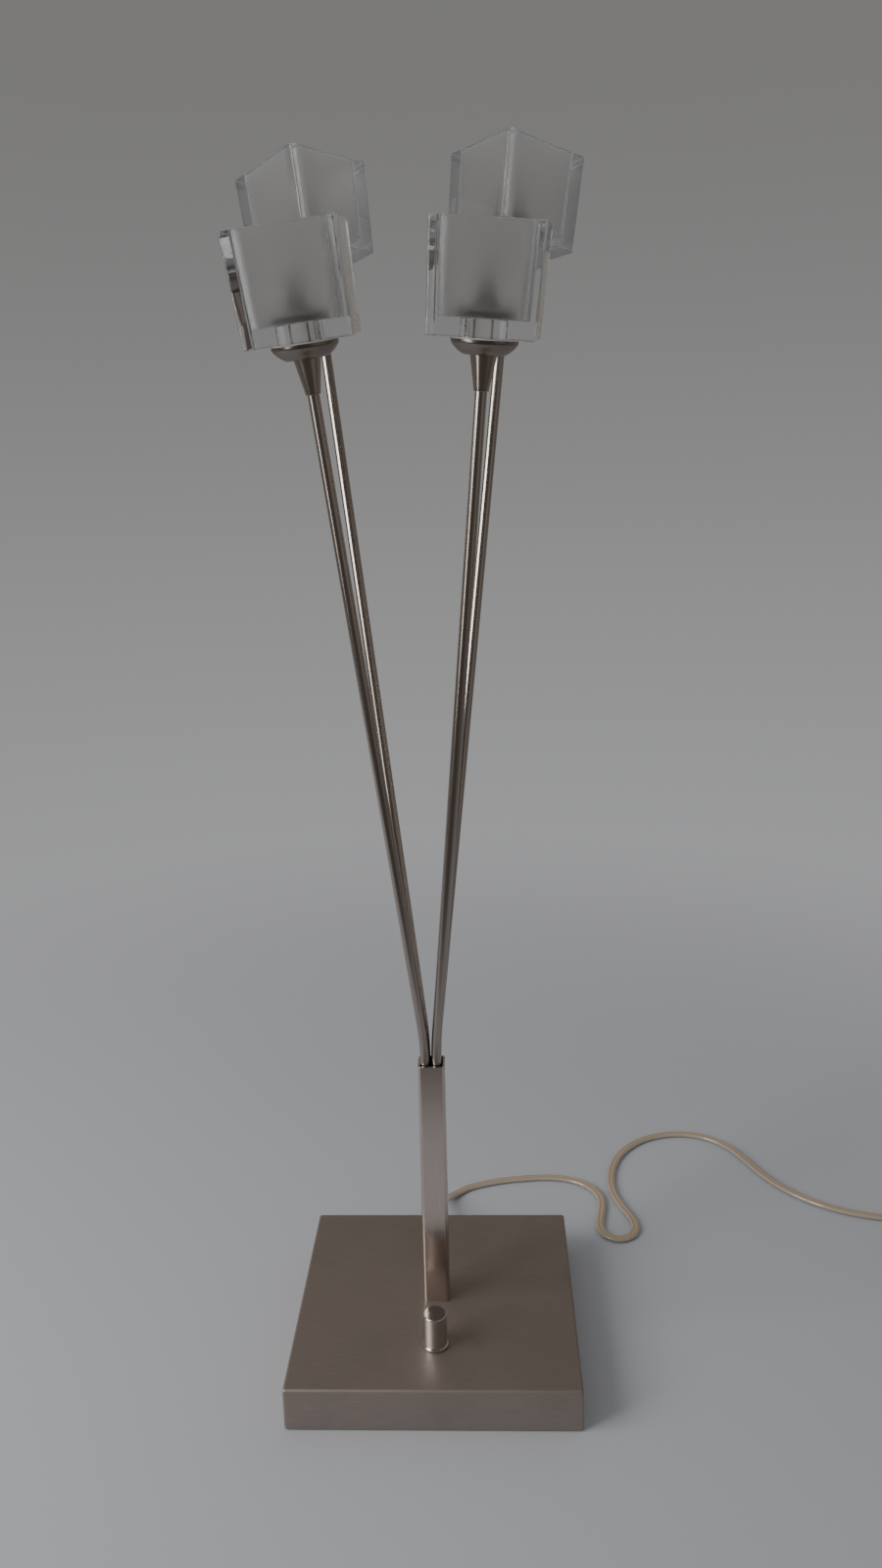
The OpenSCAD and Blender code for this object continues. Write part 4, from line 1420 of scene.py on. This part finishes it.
@dataclass
class Base:
    """Square weighted base with everything inside it."""

    width: float = 160.0 * MM
    top: float = 25.0 * MM
    foot: float = 1.0 * MM
    wall: float = 1.3 * MM
    edge: float = 1.5 * MM
    roof: float = 23.6 * MM
    plate_top: float = 3.5 * MM
    post_at: float = 68.0 * MM
    post: float = 4.0 * MM
    post_bore: float = 2.0 * MM
    nipple_hole: float = 5.25 * MM
    dimmer_hole: float = 3.75 * MM
    dimmer_at: Pair = DIMMER_AT
    cord_hole: float = 4.5 * MM
    cord_at: float = 10.5 * MM

    def cover(self) -> None:
        """Presses the cover's shell, drills it and sets its four posts."""
        Bench.cube(self.width, (0, 0, self.foot + self.width / 2))
        Bench.scale((1, 1, (self.top - self.foot) / self.width), (0, 0, self.foot))
        Bench.pick(Element.FACE, lambda at, out: out.z < -0.9)
        bpy.ops.mesh.delete(type="FACE")
        Bench.pick(Element.EDGE, lambda at, way: at.z > self.foot + NEAR)
        Bench.bevel(self.edge, 5)
        cover = Bench.done("cover_pressed")
        Bench.modify(cover, "SOLIDIFY", thickness=self.wall, offset=-1.0)
        middle = self.top - self.wall
        Bench.drill(cover, self.nipple_hole, (0, 0, middle), 4 * self.wall)
        Bench.drill(cover, self.dimmer_hole, (*self.dimmer_at, middle), 4 * self.wall)
        Bench.drill(
            cover,
            self.cord_hole,
            (0, self.width / 2, self.cord_at),
            6 * self.wall,
            (math.radians(90), 0, 0),
        )
        post = Bench.tube(
            "cover_post", (self.post_bore, self.post), (self.plate_top, self.roof), 32
        )
        posts = []
        for x in (-self.post_at, self.post_at):
            for y in (-self.post_at, self.post_at):
                posts.append(Bench.copy(post, "cover_post_set"))
                Bench.settle(posts[-1], Matrix.Translation((x, y, 0)))
        bpy.data.objects.remove(post)
        cover = Bench.join("cover_pressed", [cover, *posts])
        Bench.settle(cover, Matrix.Identity(4))
        Dresser.fit(cover, "satin_nickel", [SATIN_BASE], "base_cover")

    def build(self) -> None:
        """Models the cover and dresses the plate and what they hold."""
        self.cover()
        Dresser.nodes(ZINC, "base_plate", "base_screws")
        Dresser.nodes(PAD, "base_pad")
        Dresser.nodes(IRON, "ballast")
        Dresser.nodes(BLACK, "transformer", "dimmer_body")
        Dresser.nodes(CREAM, "terminal_block")
        Dresser.nodes(SLEEVE, "inner_leads")


@dataclass
class Dimmer:
    """Polished knob on the dimmer's shaft."""

    axis: Pair = DIMMER_AT
    foot: float = 25.3 * MM
    top: float = 45.0 * MM
    radius: float = 6.6 * MM
    flange: float = 0.7 * MM
    flange_height: float = 1.2 * MM
    edge: float = 0.45 * MM
    pocket: float = 5.6 * MM
    pocket_depth: float = 3.1 * MM
    bore: float = 2.05 * MM
    bore_top: float = 38.4 * MM
    flange_edge: float = 0.55 * MM
    foot_edge: float = 0.3 * MM
    top_margin: float = 0.3 * MM
    sides: int = 96

    def knob(self) -> None:
        """Shapes the knob from a disc: inset, drawn up, hollowed and rounded."""
        x, y = self.axis
        Bench.clear()
        bpy.ops.mesh.primitive_cylinder_add(
            vertices=self.sides,
            radius=self.radius + self.flange,
            depth=self.flange_height,
            location=(x, y, self.foot + self.flange_height / 2),
        )
        Bench.apply()
        Bench.edit()
        Bench.pick(Element.FACE, lambda at, out: out.z > 0.9)
        bpy.ops.mesh.inset(thickness=self.flange)
        Bench.push((0, 0, self.top - self.foot - self.flange_height))
        Bench.pick(Element.FACE, lambda at, out: out.z < -0.9)
        bpy.ops.mesh.inset(thickness=self.radius + self.flange - self.pocket)
        Bench.push((0, 0, self.pocket_depth))
        bpy.ops.mesh.inset(thickness=self.pocket - self.bore)
        Bench.push((0, 0, self.bore_top - self.foot - self.pocket_depth))
        centre = Vector((x, y, 0))

        def rim(radius: float, height: float) -> Test:
            """Test for the edges of a circle of this radius at this height."""
            return lambda at, way: (
                abs(at.z - height) < NEAR
                and abs((at - centre).to_2d().length - radius) < 3 * NEAR
                and abs(way.z) < 0.1
            )

        Bench.pick(Element.EDGE, rim(self.radius, self.top))
        Bench.bevel(self.edge, 6)
        Bench.pick(Element.EDGE, rim(self.radius + self.flange, self.foot + self.flange_height))
        Bench.bevel(self.flange_edge, 5)
        Bench.pick(Element.EDGE, rim(self.radius + self.flange, self.foot))
        Bench.bevel(self.foot_edge, 3)
        Bench.pick(Element.FACE, lambda at, out: out.z > 0.999 and at.z > self.top - NEAR)
        bpy.ops.mesh.inset(thickness=self.top_margin)
        knob = Bench.done("knob_turned")
        Bench.outward(knob)
        Bench.settle(knob, Matrix.Identity(4))
        Dresser.fit(knob, "polished_nickel", [POLISHED], "dimmer_knob", body=Body.KNOB)

    def build(self) -> None:
        """Models the knob and dresses its shaft and nut."""
        self.knob()
        Dresser.nodes(ZINC, "dimmer_shaft", "dimmer_nut")


@dataclass
class Stem:
    """Square stem tube and what holds it to the base."""

    width: float = 15.0 * MM
    foot: float = 25.0 * MM
    height: float = 150.0 * MM
    wall: float = 1.2 * MM
    corner: float = 2.0 * MM

    def tube(self) -> None:
        """Draws the square tube, open at both ends."""
        Bench.cube(self.width, (0, 0, self.foot + self.width / 2))
        Bench.scale((1, 1, self.height / self.width), (0, 0, self.foot))
        Bench.pick(Element.FACE, lambda at, out: abs(out.z) > 0.9)
        bpy.ops.mesh.delete(type="ONLY_FACE")
        Bench.pick(Element.EDGE, lambda at, way: abs(way.z) > 0.9)
        Bench.bevel(self.corner, 8)
        tube = Bench.done("stem_drawn")
        Bench.modify(tube, "SOLIDIFY", thickness=self.wall, offset=-1.0)
        Bench.round_off(tube, 0.2 * MM, 3, 60.0)
        Bench.settle(tube, Matrix.Identity(4))
        Dresser.fit(tube, "satin_nickel", [SATIN_TUBE], "stem_tube")

    def build(self) -> None:
        """Models the tube and dresses its fixings and the blocks that hold the arms."""
        self.tube()
        Dresser.nodes(ZINC, "stem_plug", "stem_washer", "stem_nut")
        Dresser.nodes(YELLOW_ZINC, "stem_nipple")
        Dresser.nodes(CREAM, "splice_block")
        Dresser.nodes(BLACK, "rod_spacer", "rod_clamp")
        Dresser.nodes(SLEEVE, "arm_leads")


# ---- Arms, holders and shades ----


@dataclass
class Arm:
    """One bent arm: where it leaves the stem and where its shade sits."""

    name: str
    lean: float
    heading: float
    turn: float
    length: float
    side: tuple[int, int]
    pitch: float = 6.2 * MM
    bundle: float = -0.2 * MM
    foot: float = 100.0 * MM
    bend: float = 176.0 * MM
    bend_radius: float = 120.0 * MM
    radius: float = 2.75 * MM
    wall: float = 0.8 * MM
    end: float = -6.1 * MM
    sides: int = 64
    bend_steps: int = 16

    @property
    def axis(self) -> Vector:
        """Point where the bend starts."""
        return Vector(
            (self.bundle + self.side[0] * self.pitch / 2, self.side[1] * self.pitch / 2, self.bend)
        )

    @property
    def away(self) -> Vector:
        """Level direction in which the arm leans."""
        heading = math.radians(self.heading)
        return Vector((math.cos(heading), math.sin(heading), 0.0))

    @property
    def along(self) -> Vector:
        """Direction of the straight part."""
        lean = math.radians(self.lean)
        return self.away * math.sin(lean) + Vector((0, 0, math.cos(lean)))

    @property
    def seat(self) -> Matrix:
        """Works out where the shade sits.

        Returns:
            Frame at the shade's underside, with Z along the arm.
        """
        lean, heading, turn = map(math.radians, (self.lean, self.heading, self.turn))
        corner = self.axis + Vector((0, 0, self.bend_radius * math.tan(lean / 2)))
        turned = (
            Matrix.Rotation(heading, 4, "Z")
            @ Matrix.Rotation(lean, 4, "Y")
            @ Matrix.Rotation(turn - heading, 4, "Z")
        )
        return Matrix.Translation(corner + self.along * self.length) @ turned

    def satin(self) -> BrushedMetal:
        """Satin nickel with its grain along this arm."""
        return BrushedMetal(
            f"satin_nickel_{self.name}",
            SATIN_TURNED,
            0.22,
            grain=(0.00025, 0.00025, 0.03),
            turn=tuple(self.seat.to_euler()),
            centre=tuple(self.seat.translation),
            shade=0.9,
        )

    def build(self) -> None:
        """Bends the arm's tube out of the stem, in place."""
        Bench.clear()
        start = Vector((self.axis.x, self.axis.y, self.foot))
        bpy.ops.mesh.primitive_circle_add(
            vertices=self.sides, radius=self.radius, fill_type="NOTHING", location=start
        )
        Bench.apply()
        Bench.whole()
        Bench.push((0, 0, self.bend - self.foot))
        bpy.ops.mesh.spin(
            steps=self.bend_steps,
            angle=math.radians(self.lean),
            center=self.axis + self.away * self.bend_radius,
            axis=self.away.cross(Vector((0, 0, 1))),
        )
        straight = self.length + self.end - self.bend_radius * math.tan(math.radians(self.lean) / 2)
        Bench.push(self.along * straight)
        tube = Bench.done(f"arm_tube_{self.name}")
        Bench.outward(tube)
        Bench.modify(tube, "SOLIDIFY", thickness=self.wall, offset=-1.0)
        Bench.settle(tube, Matrix.Identity(4))
        Dresser.fit(tube, "satin_nickel", [self.satin()], f"arm_{self.name}")


@dataclass
class Holder:
    """What stands under and inside each shade, measured from the shade's underside."""

    bore: float = 2.8 * MM
    cone: float = -22.8 * MM
    cone_tip: float = 3.5 * MM
    cone_top: float = 6.2 * MM
    cup: float = -7.3 * MM
    cup_base: float = 9.4 * MM
    cup_rim: float = 15.2 * MM
    cup_lip: float = 1.3 * MM
    cup_wall: float = 1.2 * MM
    seat: float = -0.8 * MM
    floor: float = -6.1 * MM
    collar: float = 10.5 * MM
    collar_wall: float = 2.0 * MM
    collar_top: float = 12.3 * MM
    nut: float = 13.5 * MM
    nut_foot: float = 8.3 * MM
    nut_top: float = 11.3 * MM
    socket: float = 7.0 * MM
    socket_top: float = 14.9 * MM
    socket_step: float = 5.9 * MM
    pin_at: float = 2.0 * MM
    pin_hole: float = 0.55 * MM
    pin_depth: float = 7.0 * MM
    cup_round: float = 0.35
    nut_room: float = 0.05 * MM
    nut_step: float = 1.2 * MM
    socket_neck: float = 2.2 * MM
    socket_slope: float = 0.5 * MM

    def ferrule(self) -> bpy.types.Object:
        """Turns the cone between the arm and the cup.

        Returns:
            The cone.
        """
        made = Bench.turn(
            "ferrule_model",
            [
                (self.bore, self.cone), (self.cone_tip, self.cone),
                (self.cone_tip + 0.1 * MM, self.cone + 1.2 * MM), (self.cone_top, self.cup),
                (self.bore, self.cup), (self.bore, self.cone),
            ],
        )
        Bench.round_off(made, 0.25 * MM)
        return made

    def dish(self) -> bpy.types.Object:
        """Turns the shallow round cup.

        Returns:
            The cup.
        """
        outer, inner = [], []
        turn_at = self.seat - self.cup_lip
        for step in range(10):
            angle = math.radians(10 * step)
            wide = self.cup_round * math.cos(angle) + (1 - self.cup_round) * (1 - step / 9)
            deep = self.cup_round * math.sin(angle) + (1 - self.cup_round) * step / 9
            for side, rim, low in (
                (outer, self.cup_rim, self.cup), (inner, self.cup_rim - self.cup_wall, self.floor)
            ):
                side.append(
                    (self.cup_base + (rim - self.cup_base) * wide, turn_at + (low - turn_at) * deep)
                )
        made = Bench.turn(
            "dish_model",
            [
                (self.bore, self.cup), *reversed(outer), (self.cup_rim, self.seat),
                (self.cup_rim - self.cup_wall, self.seat), *inner, (self.bore, self.floor),
                (self.bore, self.cup),
            ],
            128,
        )
        Bench.round_off(made, 0.2 * MM, 2, 50.0)
        return made

    def sleeve(self) -> bpy.types.Object:
        """Turns the polished collar that stands in the cup.

        Returns:
            The collar.
        """
        made = Bench.tube(
            "collar_model",
            (self.collar - self.collar_wall, self.collar),
            (self.floor, self.collar_top),
            128,
        )
        Bench.round_off(made, 0.35 * MM)
        return made

    def ring_nut(self) -> bpy.types.Object:
        """Turns the ring nut over the shade's floor, with a stepped shoulder.

        Returns:
            The ring nut.
        """
        inner = self.collar + self.nut_room
        step = self.nut - self.nut_step
        shoulder = self.nut_foot + self.nut_step
        made = Bench.turn(
            "ring_nut_model",
            [
                (inner, self.nut_foot), (self.nut, self.nut_foot), (self.nut, shoulder),
                (step, shoulder), (step, self.nut_top), (inner, self.nut_top),
                (inner, self.nut_foot),
            ],
            128,
        )
        Bench.round_off(made, 0.25 * MM)
        return made

    def lampholder(self) -> bpy.types.Object:
        """Turns the ceramic lampholder, stepped at its top, with two sockets.

        Returns:
            The lampholder.
        """
        shoulder = self.socket_top - self.socket_neck
        made = Bench.turn(
            "lampholder_model",
            [
                (self.socket, self.floor), (self.socket, shoulder),
                (self.socket_step, shoulder + self.socket_slope),
                (self.socket_step, self.socket_top),
            ],
        )
        for x in (-self.pin_at, self.pin_at):
            Bench.drill(made, self.pin_hole, (x, 0, self.socket_top), 2 * self.pin_depth)
        Bench.round_off(made, 0.3 * MM, 3, 40.0)
        return made


@dataclass
class GlassShade:
    """Thick square glass with a frosted hollow and a clear floor."""

    foot: float = 47.5 * MM
    rim: float = 50.0 * MM
    height: float = 47.5 * MM
    wall: float = 4.5 * MM
    floor: float = 8.0 * MM
    corner: float = 1.2 * MM
    hollow_corner: float = 5.0 * MM
    hole: float = 11.0 * MM
    arris: float = 0.45 * MM

    def half_at(self, height: float) -> float:
        """Half of the outer width at a height."""
        return (self.foot + (self.rim - self.foot) * height / self.height) / 2

    def model(self) -> bpy.types.Object:
        """Models one shade about the origin of its seat.

        Returns:
            The shade, with its frosted faces on the second material slot.
        """
        Bench.cube(self.foot, (0, 0, self.foot / 2))
        Bench.pick(Element.FACE, lambda at, out: out.z > 0.9)
        Bench.scale((self.rim / self.foot, self.rim / self.foot, 1), (0, 0, self.foot))
        bpy.ops.transform.translate(value=(0, 0, self.height - self.foot))
        bpy.ops.mesh.inset(thickness=self.wall)
        Bench.push((0, 0, self.floor - self.height))
        low = self.half_at(self.floor) - self.wall
        high = self.half_at(self.height) - self.wall
        Bench.scale((low / high, low / high, 1), (0, 0, self.floor))
        Bench.pick(
            Element.EDGE,
            lambda at, way: abs(way.z) > 0.9
            and max(abs(at.x), abs(at.y)) > self.foot / 2 - 10 * NEAR,
        )
        Bench.bevel(self.corner, 4)
        Bench.pick(
            Element.EDGE,
            lambda at, way: abs(way.z) > 0.9 and max(abs(at.x), abs(at.y)) < high + NEAR,
        )
        Bench.bevel(self.hollow_corner, 8)
        shade = Bench.done("shade_model")
        Bench.outward(shade)
        Bench.drill(shade, self.hole, (0, 0, 0), 4 * self.floor)
        Bench.round_off(shade, self.arris, 3, 50.0)
        shade.data.materials.append(CLEAR_GLASS.material())
        shade.data.materials.append(FROSTED_GLASS.material())
        for face in shade.data.polygons:
            at = face.center
            inside = max(abs(at.x), abs(at.y)) < high + NEAR and at.z > self.floor - NEAR
            face.material_index = int(inside and at.z < self.height - 2 * self.arris)
        return shade


@dataclass
class Bulb:
    """Low-voltage capsule: a thin quartz envelope round a coiled filament."""

    radius: float = 4.7 * MM
    foot: float = 14.9 * MM
    height: float = 22.0 * MM
    pinch: float = 5.0 * MM
    pinch_thick: float = 4.0 * MM
    wall: float = 0.7 * MM
    shoulder: float = 1.6 * MM
    coil: float = 0.75 * MM
    coil_wire: float = 0.09 * MM
    coil_foot: float = 25.0 * MM
    coil_turns: int = 14
    coil_pitch: float = 0.36 * MM
    pinch_wide: float = 0.91
    lead: float = 0.16 * MM
    lead_at: float = 2.0 * MM
    lead_foot: float = 1.0 * MM
    lead_rise: float = 0.6 * MM
    lead_drop: float = 1.4 * MM
    foil: Triple = (3.2 * MM, 0.3 * MM, 4.2 * MM)

    @staticmethod
    def pill(name: str, radius: float, low: float, high: float) -> bpy.types.Object:
        """A cylinder with two round ends.

        Args:
            name: The piece's name.
            radius: Its radius.
            low: Middle of its lower end.
            high: Middle of its upper end.

        Returns:
            The pill.
        """
        Bench.clear()
        bpy.ops.mesh.primitive_uv_sphere_add(
            segments=48, ring_count=24, radius=radius, location=(0, 0, high)
        )
        Bench.apply()
        Bench.edit()
        Bench.pick(Element.FACE, lambda at, out: at.z < high)
        Bench.push((0, 0, low - high))
        pill = Bench.done(name)
        Bench.outward(pill)
        return pill

    def envelope(self) -> bpy.types.Object:
        """Models the quartz envelope, with its gas space and its flat pinch.

        Returns:
            The envelope.
        """
        middle = self.foot + self.height - self.radius
        low = self.foot + self.pinch + self.shoulder
        outside = self.pill("envelope", self.radius, low, middle)
        Bench.take(outside)
        Bench.edit()
        Bench.pick(Element.FACE, lambda at, out: at.z < low - 1e-6)
        bpy.ops.mesh.delete(type="FACE")
        Bench.pick(Element.EDGE, lambda at, way: abs(at.z - low) < 1e-6 and abs(way.z) < 0.1)
        steps, flat, wide = 6, self.pinch_thick / 2 / self.radius, self.pinch_wide
        before = (1.0, 1.0)
        for step in range(1, steps + 1):
            share = step / steps
            ease = share * share * (3 - 2 * share)
            now = (1 + (wide - 1) * ease, 1 + (flat - 1) * ease)
            Bench.push((0, 0, -self.shoulder / steps))
            Bench.scale((now[0] / before[0], now[1] / before[1], 1), (0, 0, 0))
            before = now
        Bench.push((0, 0, -self.pinch))
        bpy.ops.mesh.edge_face_add()
        Bench.done("envelope")
        Bench.outward(outside)
        inside = self.pill(
            "gas_space", self.radius - self.wall, low + self.radius - self.wall, middle
        )
        Bench.take(inside)
        Bench.whole()
        bpy.ops.mesh.flip_normals()
        Bench.done("gas_space")
        return Bench.join("bulb_model", [outside, inside])

    def filament(self) -> bpy.types.Object:
        """Winds the filament, runs its two leads down and sets the foils in the pinch.

        Returns:
            The filament with its leads and foils.
        """
        Bench.clear()
        bpy.ops.mesh.primitive_circle_add(
            vertices=8,
            radius=self.coil_wire,
            fill_type="NOTHING",
            location=(self.coil, 0, self.coil_foot),
            rotation=(math.radians(90), 0, 0),
        )
        Bench.apply()
        coil = bpy.context.object
        Bench.modify(
            coil,
            "SCREW",
            angle=math.tau,
            screw_offset=self.coil_pitch,
            iterations=self.coil_turns,
            steps=16,
            render_steps=16,
        )
        Bench.whole()
        bpy.ops.mesh.fill_holes(sides=8)
        Bench.done("coil")
        Bench.outward(coil)
        top = self.coil_foot + self.coil_turns * self.coil_pitch
        pieces = [coil]
        low = self.foot + self.lead_foot
        routes = (
            ((self.coil, 0, top), (self.lead_at, 0, top + self.lead_rise), (self.lead_at, 0, low)),
            (
                (self.coil, 0, self.coil_foot),
                (-self.lead_at, 0, self.coil_foot - self.lead_drop),
                (-self.lead_at, 0, low),
            ),
        )
        for points in routes:
            for start, end in zip(points, points[1:]):
                way = Vector(end) - Vector(start)
                turned = way.to_track_quat("Z", "Y").to_matrix().to_4x4()
                rod = Bench.turn("lead", [(self.lead, 0), (self.lead, way.length)], 8)
                Bench.settle(rod, Matrix.Translation(start) @ turned)
                pieces.append(rod)
        wide, thick, high = self.foil
        for side in (-1, 1):
            Bench.cube(high, (side * self.lead_at, 0, self.foot + self.pinch / 2))
            Bench.scale((wide / high, thick / high, 1), (side * self.lead_at, 0, 0))
            foil = Bench.done("foil")
            Bench.round_off(foil, 0.1 * MM, 2)
            pieces.append(foil)
        return Bench.join("filament_model", pieces)


@dataclass
class Heads:
    """The four arms with their holders, bulbs and shades."""

    arms: tuple[Arm, ...] = (
        Arm("front_left", 10.6, -128.0, 0.0, 372.0 * MM, (-1, -1)),
        Arm("front_right", 9.1, -57.5, -5.0, 372.0 * MM, (1, -1)),
        Arm("back_left", 11.8, 127.5, 47.0, 427.5 * MM, (-1, 1)),
        Arm("back_right", 9.8, 51.5, 37.0, 427.5 * MM, (1, 1)),
    )

    def build(self) -> None:
        """Bends the arms and sets a holder, a bulb and a shade on each."""
        holder, bulb = Holder(), Bulb()
        ferrule, dish, collar = holder.ferrule(), holder.dish(), holder.sleeve()
        nut, socket = holder.ring_nut(), holder.lampholder()
        capsule, filament, glass = bulb.envelope(), bulb.filament(), GlassShade().model()
        for arm in self.arms:
            arm.build()
            for model, kind, slot, finishes, *replaced in (
                (ferrule, "cone", "satin_nickel", [arm.satin()], f"ferrule_{arm.name}"),
                (dish, "dish", "satin_nickel", [SATIN_CUP_PAINTED_SHADE], f"cup_{arm.name}"),
                (collar, "sleeve", "polished_nickel", [POLISHED], f"collar_{arm.name}"),
                (socket, "socket", "ceramic", [CERAMIC_WITH_PAINTED_SHADE], f"lampholder_{arm.name}"),
                (capsule, "capsule", "bulb_glass", [QUARTZ], f"bulb_{arm.name}"),
                (filament, "filament", "pin_metal", [TUNGSTEN]),
                (glass, "glass", "shade_glass", [CLEAR_GLASS, FROSTED_GLASS], f"shade_{arm.name}"),
                (nut, "nut", "black_plastic", [BLACK], "ring_nuts"),
            ):
                piece = Bench.copy(model, f"{kind}_{arm.name}")
                Bench.settle(piece, arm.seat)
                body = Body[arm.name.upper()] if model is glass else Body.BASE
                Dresser.fit(piece, slot, finishes, *replaced, body=body)
        for model in (ferrule, dish, collar, nut, socket, capsule, filament, glass):
            bpy.data.objects.remove(model)
        Dresser.nodes(SILICONE, "seat_washers")
        Dresser.nodes(PIN, "bulb_pins")


def main() -> None:
    """Builds and dresses the whole lamp."""
    logging.basicConfig(level=logging.INFO, format="%(name)s: %(message)s")
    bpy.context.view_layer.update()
    studio = Studio()
    studio.camera()
    FlatCord().build()
    studio.build()
    Base().build()
    Dimmer().build()
    Stem().build()
    Heads().build()


if __name__ == "__main__":
    main()
